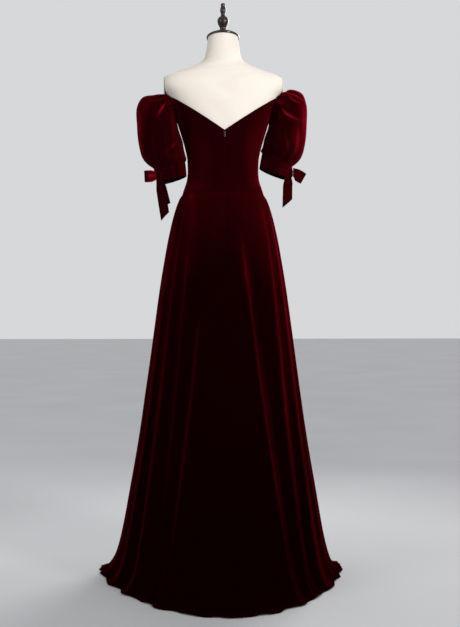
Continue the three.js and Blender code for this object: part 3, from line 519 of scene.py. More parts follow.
# Powder-coated steel: a fine orange peel, slightly worn in patches.
def steelMaterial():
    material, tree, shader = newMaterial("blackSteel")
    place = objectPlace(tree)
    peel = addNoise(tree, place, 900.0, 2.0)
    worn = addNoise(tree, place, 18.0, 4.0)
    color = addRamp(tree, worn, [(0.3, (0.012, 0.012, 0.013)), (0.8, (0.03, 0.03, 0.032))])
    gloss = addRamp(tree, worn, [(0.2, (0.36,) * 3), (0.9, (0.52,) * 3)])
    tree.links.new(gloss, shader.inputs["Roughness"])
    finishLook(tree, shader, color, {}, [(peel, 0.0002, 0.4)])
    return material


# Small nickel parts: brushed along their length.
def metalMaterial():
    material, tree, shader = newMaterial("nickel")
    lines = addNoise(tree, objectPlace(tree, (5200, 5200, 320)), 1.0, 2.0)
    color = addRamp(tree, lines, [(0.2, (0.035, 0.024, 0.026)), (0.8, (0.075, 0.055, 0.058))])
    gloss = addRamp(tree, lines, [(0.2, (0.16,) * 3), (0.8, (0.38,) * 3)])
    tree.links.new(gloss, shader.inputs["Roughness"])
    finishLook(tree, shader, color, {"Metallic": 1.0}, [(lines, 0.00004, 0.3)])
    return material


# Nylon zip tape and teeth, dyed to match the velvet.
def zipMaterial():
    material, tree, shader = newMaterial("zipNylon")
    weave = addNoise(tree, objectPlace(tree), 2200.0, 2.0)
    color = addRamp(tree, weave, [(0.3, (0.006, 0.0004, 0.0008)), (0.75, (0.02, 0.001, 0.002))])
    settings = {"Roughness": 0.7, "Specular IOR Level": 0.1}
    finishLook(tree, shader, color, settings, [(weave, 0.0001, 0.4)])
    return material


velvet, litUpperVelvet = velvetMaterial("velvet", velvetLook), velvetMaterial("litUpperVelvet", litUpperLook)
litRibbonVelvet = velvetMaterial("litRibbonVelvet", litRibbonLook)
velvetBack, jersey, darkWood = backingMaterial(), jerseyMaterial(), woodMaterial()
blackSteel, nickel, zipNylon = steelMaterial(), metalMaterial(), zipMaterial()
print("materials made")


# Hides the CAD node that a cloth piece stands for, after measuring the grid's lengths across and down, which
# nothing uses.
def finishSheet(piece, node, grid, closed=False):
    wide = np.concatenate([grid, grid[:, :1]], axis=1) if closed else grid
    across, down = lengthsAcross(wide), lengthsDown(wide)
    standsFor(piece, node)
    return piece


# Bodice
vBack = {"tip": 1326, "slope": 0.67}
vFront = {"tip": 1368, "slope": 0.5}
armhole = {"middle": 1408, "halfHeight": 40, "halfDepth": 45, "clear": 0.9}
zipSize = {"top": 1321, "end": 1011, "slot": 0.25, "width": 1.6, "thick": 1.0, "pitch": 1.5}
bodicePanels = {
    "bodice_back_left": {"from": -90, "to": 0, "zipAt": "end"},
    "bodice_back_right": {"from": 0, "to": 90, "zipAt": "start"},
    "bodice_front_side_right": {"from": 90, "to": 140, "zipAt": None},
    "bodice_front_centre": {"from": 140, "to": 220, "zipAt": None},
    "bodice_front_side_left": {"from": 220, "to": 270, "zipAt": None},
}
# A crease is a curve through three places seen from the back (face -1) or the front (face 1).
bodiceCreases = [  # x1 z1 x2 z2 x3 z3 spread height face
    (-100, 1186, -84, 1170, -62, 1163, 5, 1.5, -1),
    (-108, 1168, -90, 1160, -66, 1156, 4, 1.2, -1),
    (-104, 1212, -92, 1200, -78, 1196, 6, 1.0, -1),
    (101, 1196, 88, 1180, 66, 1172, 6, 1.2, -1),
    (108, 1170, 92, 1162, 70, 1158, 5, 1.0, -1),
    (-126, 1340, -112, 1306, -104, 1270, 8, 1.2, -1),
    (128, 1352, 112, 1312, 104, 1276, 8, 1.2, -1),
    (-12, 1312, -30, 1306, -46, 1310, 3.5, 0.5, -1),
    (12, 1312, 26, 1307, 40, 1311, 3.5, 0.5, -1),
    (-100, 1190, -80, 1176, -56, 1170, 6, 1.2, 1),
    (100, 1198, 84, 1182, 60, 1174, 6, 1.1, 1),
    (-112, 1330, -92, 1346, -70, 1352, 7, 0.9, 1),
    (114, 1326, 94, 1342, 72, 1350, 7, 0.9, 1),
]
# Patches of painted highlight, and of painted shade where the amount is negative.
bodicePaintedPatches = [  # x z wide high amount
    (-48, 1268, 22, 62, 0.07),
    (78, 1286, 20, 70, 0.09),
    (98, 1180, 16, 16, 0.04),
    (-88, 1160, 22, 7, 0.16),
    (-112, 1330, 12, 60, -0.3),
    (-106, 1250, 9, 50, -0.25),
    (20, 1240, 26, 60, -0.07),
]


# The bodice's top edge: the neckline rises evenly to both sides, and each column ends at the lowest
# place that is within the armhole, an oval whose sides run straight up from its middle.
def bodiceTop(angle):
    line = {name: np.where(np.cos(angle) > 0, vBack[name], vFront[name]) for name in ("tip", "slope")}
    z = np.full(angle.shape, 1400.0)
    for _ in range(30):
        z = mix(z, line["tip"] + line["slope"] * np.abs(bodicePoint(angle, z)[..., 0]), 0.6)
    levels = np.linspace(armhole["middle"] - armhole["halfHeight"] - 2, z.max(), 400)[:, None]
    across = np.abs(bodicePoint(angle, levels)[..., 1]) / armhole["halfDepth"]
    oval = armhole["middle"] - armhole["halfHeight"] * np.sqrt(np.clip(1 - across**2, 0, 1))
    within = (across < 1) & (levels > oval)
    lowest = levels[within.argmax(axis=0), 0]
    return np.where(within.any(axis=0), np.minimum(z, lowest), z)


# Moves a panel's edge in from its seam by half the gap, fading over the first few millimetres.
def parted(grid, gapAtStart, gapAtEnd, fade=7.0):
    across = lengthsAcross(grid)
    start = grid[:, 2] - grid[:, 0]
    end = grid[:, -3] - grid[:, -1]
    start /= np.linalg.norm(start, axis=1, keepdims=True)
    end /= np.linalg.norm(end, axis=1, keepdims=True)
    nearStart = np.clip(1 - across / fade, 0, 1) * gapAtStart(grid[:, :1, 2])
    nearEnd = np.clip(1 - (across[:, -1:] - across) / fade, 0, 1) * gapAtEnd(grid[:, -1:, 2])
    return grid + nearStart[..., None] * start[:, None] + nearEnd[..., None] * end[:, None]


def plainSeam(z):
    return np.full_like(z, cloth["seamGap"] / 2)


# Half the slot between the back panels: wider along the zip than in the plain seam below it.
def zipSeam(z):
    return mix(cloth["seamGap"] / 2, zipSize["slot"] / 2, smooth(zipSize["end"] - 8, zipSize["end"], z))


def buildBodice():
    for name, panel in bodicePanels.items():
        span = panel["to"] - panel["from"]
        columns = shares(span, span * 1.95, cloth["thick"])
        rows = shares(64, 210, cloth["thick"])[:, None]
        angle = np.radians(mix(panel["from"], panel["to"], columns))
        z = mix(bodiceTop(angle), waistSeam + cloth["seamGap"] / 2, rows)
        grid = bodicePoint(np.broadcast_to(angle, z.shape), z)
        grid, paintedSheen = creased(grid, bodiceCreases)
        grid = parted(grid, *(zipSeam if panel["zipAt"] == edge else plainSeam for edge in ("start", "end")))
        # Painted sheen on ridges and creases, with patches of painted highlight and painted shade.
        paintedShading = paintedRidgeSheen(grid) + paintedPatches(grid, bodicePaintedPatches) + paintedSheen
        materials = [litUpperVelvet, velvetBack]
        sizes = {"sewn": "foot start end", "level": {"foot": waistSeam + cloth["seamGap"] / 2}}
        piece = clothMesh(name + "_cloth", grid, cloth["thick"], materials, paintedShading=paintedShading, **sizes)
        finishSheet(piece, name, grid)


buildBodice()
print("bodice built")


# Skirt: its own sections, down from the waist seam and out along the floor at the hem.
# shift is how far forward the widest place lies, and taper draws the train in towards its tip.
bodiceOut = cloth["formGap"] + cloth["thick"] / 2
waist = {name: float(along(bodySections, "z", waistSeam, name)) for name in ("width", "back", "front")}
skirtSections = table(
    "z width back front shift square taper",
    *((waistSeam - drop, *(waist[name] + bodiceOut + wider for name in waist), 0, 2.2, 1)
      for drop, wider in ((cloth["seamGap"] / 2, 0), (1.6, 0.2))),
    (1131, 130, 95.5, 97.5, 0, 2.2, 1),
    (1085, 146, 108.5, 106, 0, 2.2, 1),
    (1011, 163.5, 126, 116.5, 0, 2.2, 1),
    (985, 168.5, 131.5, 119.5, 0, 2.18, 1),
    (870, 188, 155, 135, 0, 2.12, 1),
    (720, 209, 189, 156, 0, 2.06, 1),
    (560, 231, 227, 177, 3, 2, 1),
    (400, 254, 269, 193, 10, 2, 1),
    (250, 280, 311, 204, 20, 2, 1.02),
    (129, 303, 357, 209, 35, 2, 1.06),
    (60, 322, 405, 207, 55, 2, 1.14),
    (22, 341, 458, 206, 78, 2, 1.26),
    (5, 358, 502, 207, 92, 2, 1.38),
    (1, 375, 543, 212, 106, 2, 1.48),
)
# The large folds, in order round the waist: angle at the waist and at the hem, where the ridge starts
# as a share of the drop, its height at the hem, its spread in degrees, and how much painted highlight lies
# along its crest.
skirtFolds = table(
    "waist hem start height spread glow",
    (-90, -90, 0.1, 0, 5, 0),
    (-65, -63, 0.02, 17, 4.6, 0.2),
    (-52, -50, 0.02, 19, 4.2, 0.22),
    (-36, -39, 0.1, 8, 4, 0.16),
    (-13, -31, 0.3, 15, 4.2, 0.3),
    (0, 0, 0.1, 0, 5, 0),
    (6, 20, 0.45, 8, 4.5, 0.06),
    (11, 32, 0.12, 18, 4, 0.44),
    (50, 42, 0.02, 17, 4.2, 0.42),
    (67, 54, 0.02, 18, 4.8, 0.5),
    (90, 90, 0.1, 0, 5, 0),
    (106, 104, 0.03, 15, 4.8, 0.4),
    (121, 120, 0.05, 20, 5, 0.45),
    (139, 137, 0.2, 13, 5, 0.25),
    (158, 156, 0.12, 18, 5.2, 0.4),
    (180, 178, 0.4, 9, 6, 0.15),
    (201, 203, 0.08, 17, 5.2, 0.4),
    (220, 223, 0.22, 14, 5, 0.25),
    (238, 241, 0.04, 19, 5, 0.45),
    (254, 257, 0.05, 14, 4.8, 0.3),
    (270, 270, 0.1, 0, 5, 0),
)
# Finer ridges between the folds: angles at the waist and the hem, the shares where a ridge starts and
# ends, its height in the middle and its spread in degrees.
skirtRipples = table(
    "waist hem start end height spread",
    (-80, -77, 0.3, 1.1, 3.0, 2.6),
    (-58, -57, 0.1, 0.7, 1.6, 1.6),
    (-44, -45, 0.35, 1.1, 3.0, 1.8),
    (-20, -17, 0.8, 1.2, 2.5, 2.6),
    (3, 5, 0.86, 1.2, 2.0, 2.4),
    (26, 26, 0.6, 1.1, 2.0, 1.8),
    (58, 48, 0.2, 0.9, 2.0, 1.5),
    (78, 68, 0.25, 1.15, 4.0, 2.4),
    (84, 79, 0.5, 1.1, 2.5, 2.0),
    (98, 97, 0.3, 1.1, 3.0, 2.0),
    (113, 112, 0.4, 1.1, 3.5, 2.0),
    (130, 129, 0.2, 1.0, 2.5, 2.0),
    (148, 147, 0.5, 1.15, 4.0, 2.4),
    (169, 167, 0.35, 1.1, 3.0, 2.2),
    (190, 191, 0.3, 1.1, 3.5, 2.2),
    (211, 213, 0.5, 1.15, 3.0, 2.0),
    (229, 232, 0.3, 1.0, 3.0, 2.0),
    (246, 249, 0.5, 1.1, 3.0, 2.0),
    (263, 264, 0.3, 1.1, 2.5, 2.2),
)
skirtPanels = {
    "skirt_back_left": {"first": 0, "last": 5, "zipAt": "end", "from": "bodice_back_left"},
    "skirt_back_right": {"first": 5, "last": 10, "zipAt": "start", "from": "bodice_back_right"},
    "skirt_front": {"first": 10, "last": 20, "zipAt": None, "from": "bodice_front_centre"},
}
hemRipples = {"height": 5.0, "lift": 5.0, "from": 0.86}
# Painted light on the skirt: narrow and wide are the crest highlight's bells in millimetres, atWaist a
# painted light that fades out by the share atHip, and atHem a painted shade towards the hem.
crestPaint = {"narrow": 4.0, "wide": 15.0, "atWaist": 0.12, "atHem": -0.13, "atHip": 0.32}
# Patches of painted highlight, and of painted shade where the amount is negative.
skirtPaintedPatches = [  # x z wide high amount
    (-98, 1136, 13, 22, 0.12),
    (-94, 1090, 10, 60, 0.08),
    (-134, 1060, 12, 60, -0.14),
    (112, 1080, 9, 60, 0.08),
]
steps = np.hypot(np.diff(skirtSections["width"]), np.diff(skirtSections["z"]))
skirtSections["drop"] = np.concatenate([[0], np.cumsum(steps)])
fullDrop = skirtSections["drop"][-1]


# Where a fold lies: from its angle at the waist to that at the hem, quickly at first.
def foldAngle(fold, share):
    return mix(fold["waist"], fold["hem"], 1 - (1 - share) ** 1.6)


# How far an angle is from another, the short way round.
def away(angle, other):
    return (angle - other + 180) % 360 - 180


# The ridges' height: a bell for each fold, less a wider shallow bell that makes the hollows beside it.
def ridgeHeight(angle, share):
    total = np.zeros(np.broadcast(angle, share).shape)
    for fold in rowsOf(skirtFolds):
        grown = fold["height"] * smooth(fold["start"], fold["start"] + 0.75, share) ** 0.8
        wide = away(angle, foldAngle(fold, share)) / (fold["spread"] * mix(1.5, 1, share))
        total += grown * (bell(wide) - 0.32 * bell(wide / 2.4))
    return total


# The ripples' height: a bell across, and an S up and an S down along the drop.
def rippleHeight(angle, share):
    total = np.zeros(np.broadcast(angle, share).shape)
    for ripple in rowsOf(skirtRipples):
        start, end = ripple["start"], ripple["end"]
        grown = ripple["height"] * smooth(start, start + 0.25, share) * (1 - smooth(end - 0.2, end, share))
        total += grown * bell(away(angle, foldAngle(ripple, share)) / ripple["spread"])
    return total


# Painted highlight along each fold's crest: a narrow bell and a wider, weaker one, in millimetres
# round the skirt, swelling and fading on the way down as two sines.
def paintedCrestSheen(angle, share, radius):
    total = np.zeros(np.broadcast(angle, share).shape)
    for i, fold in enumerate(rowsOf(skirtFolds)):
        far = np.radians(away(angle, foldAngle(fold, share))) * radius
        swell = 0.8 + 0.14 * np.sin(9 * share + 2 * i) + 0.08 * np.sin(23 * share + 5 * i)
        grown = fold["glow"] * swell * smooth(fold["start"] - 0.02, fold["start"] + 0.1, share)
        total += grown * (0.75 * bell(far / crestPaint["narrow"]) + 0.25 * bell(far / crestPaint["wide"]))
    return total


# The wave along the hem: three sines of the angle that don't repeat together.
def hemWave(angle):
    a = np.radians(angle)
    return (np.sin(23 * a + 0.7) + 0.7 * np.sin(37 * a + 2.1) + 0.5 * np.sin(61 * a + 4.0)) / 2.2


# The skirt's surface: the section at a drop, swollen by the folds and ripples, and lifted in waves
# where it lies on the floor.
def skirtPoint(angle, drop):
    section = {name: along(skirtSections, "drop", drop, name) for name in skirtSections if name != "drop"}
    share = drop / fullDrop
    loose = smooth(hemRipples["from"], 1, share)
    swell = ridgeHeight(angle, share) + rippleHeight(angle, share)
    swell += hemRipples["height"] * loose * hemWave(angle)
    p = onSection(section, np.radians(angle), swell)
    p[..., 2] += hemRipples["lift"] * loose * (0.5 + 0.5 * hemWave(angle + 5))
    p[..., 2] = np.maximum(p[..., 2], 1.1)
    return p


def buildSkirt():
    rows = shares(190, fullDrop, cloth["thick"])[:, None]
    drop = fullDrop * rows
    angles = foldAngle(skirtFolds, rows)
    for name, panel in skirtPanels.items():
        folds = panel["last"] - panel["first"]
        column = panel["first"] + folds * shares(18 * folds, 95 * folds, cloth["thick"])
        low = np.minimum(column.astype(int), panel["last"] - 1)
        angle = mix(angles[:, low], angles[:, low + 1], column - low)
        grid = skirtPoint(angle, np.broadcast_to(drop, angle.shape))
        grid = parted(grid, *(zipSeam if panel["zipAt"] == edge else plainSeam for edge in ("start", "end")))
        radius = along(skirtSections, "drop", drop, "width")
        # Painted highlight on the crests, weaker towards the hem, painted light near the waist, painted
        # shade towards the hem, and the painted patches.
        glow = paintedCrestSheen(angle, rows, radius) * (1 - 0.35 * smooth(0.55, 1, rows))
        glow += crestPaint["atWaist"] * (1 - smooth(0, crestPaint["atHip"], rows))
        glow += crestPaint["atHem"] * smooth(0.4, 1, rows) + paintedPatches(grid, skirtPaintedPatches)
        sizes = {"floor": 0, "sewn": "top start end", "level": {"top": waistSeam - cloth["seamGap"] / 2}}
        materials = [velvet, velvetBack]
        piece = clothMesh(name + "_cloth", grid, cloth["thick"], materials, paintedShading=glow, **sizes)
        finishSheet(piece, name, grid)


buildSkirt()
print("skirt built")


# Sleeves, seen from the back: the outer and the inner line, and half the depth, from the armhole to
# the top of the band and down the band. x is measured outwards from the middle of the body.
stationColumns = "outerX outerZ innerX innerZ depth"
sleeves = {
    "right": {
        "side": 1,
        "topEdge": 1447,
        "phase": 0.4,
        "stations": table(
            stationColumns,
            (200, 1461, 137.5, 1350, 57),
            (235, 1452, 131, 1331, 66),
            (250, 1418, 125, 1313, 70),
            (251, 1362, 122, 1298, 71),
            (246, 1304, 118, 1285, 69),
            (233, 1262, 115, 1278.5, 61),
            (208.2, 1232.8, 118.8, 1275.0, 46.1),
        ),
        "band": table(
            stationColumns,
            (208, 1232, 119, 1274, 46),
            (207, 1212, 114, 1250, 46.5),
            (203, 1191, 110, 1226, 46),
        ),
        "creases": [  # x1 z1 x2 z2 x3 z3 spread height face
            (166, 1412, 180, 1358, 236, 1362, 5, 4.6, -1),
            (170, 1448, 200, 1442, 242, 1416, 4, 4.2, -1),
            (186, 1444, 198, 1414, 226, 1412, 4, 3.2, -1),
            (206, 1458, 222, 1444, 240, 1440, 4, 2.6, -1),
            (158, 1405, 165, 1370, 172, 1340, 5, 1.8, -1),
            (232, 1400, 240, 1350, 226, 1296, 9, 2.6, -1),
            (214, 1350, 220, 1310, 206, 1262, 6, 2.4, -1),
            (150, 1340, 158, 1310, 172, 1290, 5, 1.8, -1),
            (176, 1330, 184, 1300, 190, 1262, 5, 2.0, -1),
            (170, 1430, 186, 1380, 228, 1362, 5, 3.5, 1),
            (180, 1450, 196, 1432, 216, 1424, 3.5, 2.6, 1),
            (232, 1392, 236, 1346, 226, 1300, 8, 1.6, 1),
        ],
        # Patches of painted highlight, and of painted shade where the amount is negative.
        "patches": [  # x z wide high amount
            (212, 1310, 16, 48, 0.2),
            (236, 1380, 8, 60, 0.1),
            (160, 1380, 14, 30, -0.12),
            (150, 1310, 20, 40, -0.15),
            (176, 1440, 20, 12, 0.08),
        ],
    },
    "left": {
        "side": -1,
        "topEdge": 1441,
        "phase": 1.3,
        "stations": table(
            stationColumns,
            (203, 1440, 136, 1347, 56),
            (238, 1434, 129, 1324, 66),
            (256, 1405, 122, 1304, 71),
            (256, 1352, 119, 1286, 72),
            (250, 1295, 114.5, 1266, 70),
            (236, 1253, 111, 1252, 61),
            (207.2, 1223.8, 113.8, 1244.0, 46.1),
        ),
        "band": table(
            stationColumns,
            (207, 1223, 114, 1243, 46),
            (201, 1199, 111.5, 1222, 46.5),
            (192, 1176, 110, 1201, 46),
        ),
        "creases": [
            (160, 1428, 184, 1390, 202, 1356, 4, 4.6, -1),
            (160, 1402, 148, 1346, 152, 1284, 7, 3.2, -1),
            (214, 1428, 238, 1390, 242, 1316, 11, 3.2, -1),
            (172, 1336, 176, 1296, 166, 1256, 6, 2.4, -1),
            (140, 1300, 158, 1268, 184, 1262, 6, 3.2, -1),
            (206, 1320, 212, 1280, 196, 1246, 6, 2.2, -1),
            (168, 1420, 190, 1384, 206, 1352, 5, 3.0, 1),
            (150, 1320, 164, 1284, 190, 1268, 6, 2.2, 1),
            (226, 1404, 238, 1366, 236, 1320, 9, 1.6, 1),
        ],
        # Patches of painted highlight, and of painted shade where the amount is negative.
        "patches": [
            (246, 1330, 12, 70, 0.14),
            (152, 1254, 30, 12, 0.14),
            (184, 1300, 24, 30, -0.1),
            (140, 1360, 10, 40, -0.2),
        ],
    },
}
gathers = {"waves": 12, "atTop": 3.0, "atMiddle": 0.6, "atBand": 2.6, "inSeam": 0.3, "onBand": 0.9}
fineGathers = {"waves": 29, "atTop": 1.3, "atBand": 1.2, "onBand": 0.7}
armholeTop = {"squareY": 0.4, "squareZ": 0.5, "ease": 0.5}
plateRise = {"from": 1412, "to": 1432, "near": 24, "far": 34}  # where the ring leaves the body for the plate
armFace = 175
armPlate = {"thick": 2.4, "halfDepth": 31, "halfHeight": 33, "height": 1463, "y": -6}


# Where a sleeve leaves the bodice: an oval on the body's side, squarer in its upper half, with its top
# run out over the flat arm plate.
def armholeRing(sleeve, turn):
    low = armhole["middle"] - armhole["halfHeight"]
    s, c = np.sin(turn), np.cos(turn)
    rise = np.where(c > 0, np.abs(c) ** armholeTop["squareZ"], c)
    aside = np.sign(s) * np.abs(s) ** np.where(c > 0, armholeTop["squareY"], 1)
    z = mix(low, sleeve["topEdge"], (1 + rise) / 2)
    y = (armhole["halfDepth"] + armholeTop["ease"]) * aside
    clear = cloth["thick"] + cloth["formGap"] + armhole["clear"]
    section = bodySection(z)
    depth = np.where(y < 0, section["back"], section["front"]) + clear
    across = np.minimum(0.999, np.abs(y) / depth)
    onBody = (section["width"] + clear) * (1 - across ** section["square"]) ** (1 / section["square"])
    overPlate = armFace + armPlate["thick"] + 2 * plateGap + cloth["thick"] / 2 + armholeTop["ease"]
    over = smooth(plateRise["from"], plateRise["to"], z)
    over = over * (1 - smooth(plateRise["near"], plateRise["far"], np.abs(y - armPlate["y"])))
    return np.stack([mix(np.minimum(onBody, overPlate), overPlate, over), y, z], axis=-1)


# A sleeve's ring: from its inner to its outer line by the turn's cosine, and deep by its sine.
def stationRings(stations, turn):
    share = (1 + np.cos(turn)) / 2
    x = mix(stations["innerX"][:, None], stations["outerX"][:, None], share)
    z = mix(stations["innerZ"][:, None], stations["outerZ"][:, None], share)
    return np.stack([x, stations["depth"][:, None] * np.sin(turn), z], axis=-1)


# Rings between the given ones, on centripetal Catmull-Rom curves through the same place of each.
def smoothedRings(rings, places):
    first, last = 2 * rings[:1] - rings[1:2], 2 * rings[-1:] - rings[-2:-1]
    padded = np.concatenate([first, rings, last])
    place = places * (len(rings) - 1)
    i = np.minimum(place.astype(int), len(rings) - 2)
    t = (place - i)[:, None, None]
    p0, p1, p2, p3 = (padded[i + k] for k in range(4))
    chords = (p1 - p0, p2 - p1, p3 - p2)
    gap = [np.maximum(np.linalg.norm(chord, axis=2, keepdims=True), 1e-6) ** 0.5 for chord in chords]
    leave = ((p1 - p0) / gap[0] - (p2 - p0) / (gap[0] + gap[1]) + (p2 - p1) / gap[1]) * gap[1]
    arrive = ((p2 - p1) / gap[1] - (p3 - p1) / (gap[1] + gap[2]) + (p3 - p2) / gap[2]) * gap[1]
    bend = -3 * p1 + 3 * p2 - 2 * leave - arrive
    return p1 + leave * t + bend * t**2 + (2 * p1 - 2 * p2 + leave + arrive) * t**3


# Gathers: cosine waves round each ring, uneven by a slow sine and weak on the side of the body.
def gathered(rings, turn, depth, fine, phase):
    middle = rings.mean(axis=1, keepdims=True)
    out = rings - middle
    out /= np.linalg.norm(out, axis=2, keepdims=True)
    uneven = (0.75 + 0.25 * np.sin(3 * turn + phase)) * mix(0.25, 1, (1 + np.cos(turn)) / 2)
    wave = depth[:, None] * np.cos(gathers["waves"] * turn + 0.6 * np.sin(turn + phase))
    small = fine[:, None] * np.cos(fineGathers["waves"] * turn + 1.4 * np.sin(2 * turn + phase))
    return rings + out * ((wave + small) * uneven)[..., None]


# Puts a tube made for the right side on its own side; mirrored columns are put in order again.
def onSide(rings, side):
    return rings if side > 0 else (rings * np.array([-1, 1, 1]))[:, ::-1]


def buildSleeve(name, sleeve):
    turn = np.linspace(0, 2 * np.pi, 176, endpoint=False)
    rings = np.concatenate([armholeRing(sleeve, turn)[None], stationRings(sleeve["stations"], turn)])
    place = shares(84, 330, cloth["thick"])
    top = mix(gathers["atTop"], gathers["atMiddle"], smooth(0.02, 0.5, place)) * smooth(-0.06, 0.1, place)
    low = mix(gathers["atMiddle"], gathers["atBand"], smooth(0.6, 0.92, place))
    low = mix(low, gathers["inSeam"], smooth(0.92, 1, place))
    depth = np.where(place < 0.5, top, low)
    fineTop = fineGathers["atTop"] * (1 - smooth(0.02, 0.3, place)) * smooth(-0.02, 0.04, place)
    fineLow = fineGathers["atBand"] * smooth(0.74, 0.93, place) * (1 - smooth(0.95, 1, place))
    tube = gathered(smoothedRings(rings, place), turn, depth, fineTop + fineLow, sleeve["phase"])
    tube, paintedSheen = creased(onSide(tube, sleeve["side"]), sleeve["creases"], closed=True, side=sleeve["side"])
    # Painted sheen on ridges and creases, with patches of painted highlight and painted shade.
    paintedShading = paintedRidgeSheen(tube, closed=True) + paintedPatches(tube, sleeve["patches"], sleeve["side"]) + paintedSheen
    materials = [litUpperVelvet, velvetBack]
    sleeveName = f"sleeve_{name}_cloth"
    piece = clothMesh(sleeveName, tube, cloth["thick"], materials, closed=True, sewn="foot", paintedShading=paintedShading)
    finishSheet(piece, f"sleeve_{name}", tube,
                closed=True)

    place = shares(22, 45, ribbon["thick"])
    pucker = gathers["onBand"] * smooth(0, 0.5, place)
    finePucker = fineGathers["onBand"] * smooth(0, 0.4, place)
    band = smoothedRings(stationRings(sleeve["band"], turn), place)
    band = onSide(gathered(band, turn, pucker, finePucker, sleeve["phase"] + 1), sleeve["side"])
    bandName, materials = f"sleeve_band_{name}", [litRibbonVelvet, velvetBack]
    piece = clothMesh(bandName + "_cloth", band, ribbon["thick"], materials, closed=True, sewn="top")
    finishSheet(piece, bandName, band, closed=True)


for sideName, sleeveSizes in sleeves.items():
    buildSleeve(sideName, sleeveSizes)
print("sleeves built")


# Bows: where the knot sits and which way it faces, its outer and inner loop, and its long and short
# tail. A loop's direction is its turn from +X round the vertical and its dip below level. Root and
# rise are where it starts from the knot's middle, bend is how far its tip curls back towards the arm,
# and the last column is how much painted sheen lies on it. A tail starts so far to the side of the knot's
# middle, and leans sideways and outwards by so much for each millimetre down.
loopColumns = "turn dip root rise length bend glow"
tailColumns = "aside lean out length width cut stand turn"
bows = {
    "right": {
        "knot": (199, -46, 1207),
        "facing": -62,
        "loops": table(
            loopColumns,
            (10, 30, 9.3, 7, 45, 0, 0.2),
            (201, -17, 8.5, 0, 56, 11.75, 0.15),
        ),
        "tails": table(
            tailColumns,
            (-11, -0.03, 0.02, 92, 33, 27, 4.4, -4),
            (-6, -0.03, -0.02, 76, 31, 16, 0, 8),
        ),
    },
    "left": {
        "knot": (-193, -45, 1197),
        "facing": -118,
        "loops": table(
            loopColumns,
            (172, 3, 8.05, 0, 41, 0, 0.5),
            (-21, -11, 8.25, 0, 52, 9.4, 0.04),
        ),
        "tails": table(
            tailColumns,
            (2.5, 0.17, 0.02, 122, 28, 26, 4.4, 40),
            (2, 0.22, -0.05, 82, 29, 14, 0, 16),
        ),
    },
}
knotSize = {"wide": 16, "high": 25, "deep": 12, "grooves": 4, "groove": 0.06, "waist": 0.12}
loopSize = {"width": 34, "rootWidth": 0.8, "swell": 5.4, "rootSwell": 2.6, "crease": 0.7}
tailForm = {"rootWidth": 0.7, "curl": 1.6, "pleat": 0.8, "start": 0.49}


# A bow loop: a flat tube of doubled ribbon along its own direction. Its half thickness is a sine
# round the tube, and creases spread from the knot as cosines across the ribbon's width. A painted sheen
# lies on it, strongest near the knot.
def bowLoop(knot, loop):
    dip, turn = math.radians(loop["dip"]), math.radians(loop["turn"])
    out = np.array([math.cos(turn) * math.cos(dip), math.sin(turn) * math.cos(dip), -math.sin(dip)])
    across = np.array([-math.sin(turn), math.cos(turn), 0])
    up = np.cross(out, across)
    around = np.linspace(0, 2 * np.pi, 64, endpoint=False)[::-1]
    height = mix(0.5, -0.5, shares(22, loopSize["width"], ribbon["thick"]))[:, None]
    reach = (1 - np.cos(around)) / 2
    swell = mix(loopSize["rootSwell"], loopSize["swell"], smooth(0, 0.8, reach))
    creases = loopSize["crease"] * np.cos(17 * height + 2.2 * reach) * bell((reach - 0.25) / 0.3)
    thick = (swell + creases) * np.sin(around)
    squeeze = mix(loopSize["rootWidth"], 1, smooth(0, 0.45, reach))
    lengthways = mix(loop["root"], loop["length"], reach)[..., None] * out
    level = mix(np.array([0, 0, 1]), up, smooth(0, 0.6, reach)[:, None])
    level /= np.linalg.norm(level, axis=1, keepdims=True)
    widthways = (height * loopSize["width"] * squeeze)[..., None] * level
    curl = (loop["bend"] * reach**2)[..., None] * np.array([0, 1, 0]) + np.array([0, 0, loop["rise"]])
    # Painted sheen on the loop, strongest near the knot.
    paintedSheen = loop["glow"] * (1 - smooth(0.5, 0.95, reach)) * (0.8 + 0.2 * np.cos(11 * height))
    return np.array(knot, float) + lengthways + thick[..., None] * across + widthways + curl, paintedSheen


# A tail: a flat ribbon from the foot of the knot, curled across as a sine and cut on the slant.
def bowTail(knot, facing, tail):
    front = np.array([math.cos(math.radians(facing)), math.sin(math.radians(facing)), 0])
    share = shares(20, tail["width"], ribbon["thick"])
    fall = shares(44, tail["length"], ribbon["thick"])[:, None]
    start = tailForm["start"] * knotSize["high"] + cloth["seamGap"]
    down = fall * (tail["length"] - tail["cut"] * share) + start
    width = tail["width"] * mix(tailForm["rootWidth"], 1, smooth(0, 0.3, fall))
    turned = np.radians(facing + 90 + tail["turn"] * fall)
    side = np.stack([np.cos(turned), np.sin(turned), np.zeros_like(turned)], axis=-1)
    curl = tailForm["curl"] * np.sin(np.pi * share) * smooth(0.1, 0.6, fall)
    pleat = tailForm["pleat"] * np.cos(12 * share) * (1 - smooth(0.05, 0.4, fall))
    x = knot[0] + tail["aside"] + tail["lean"] * down
    middle = np.stack([x, np.full_like(down, knot[1]), knot[2] - down], axis=-1)
    forward = curl + pleat + tail["stand"] + tail["out"] * down
    return middle + ((share - 0.5) * width)[..., None] * side + forward[..., None] * front


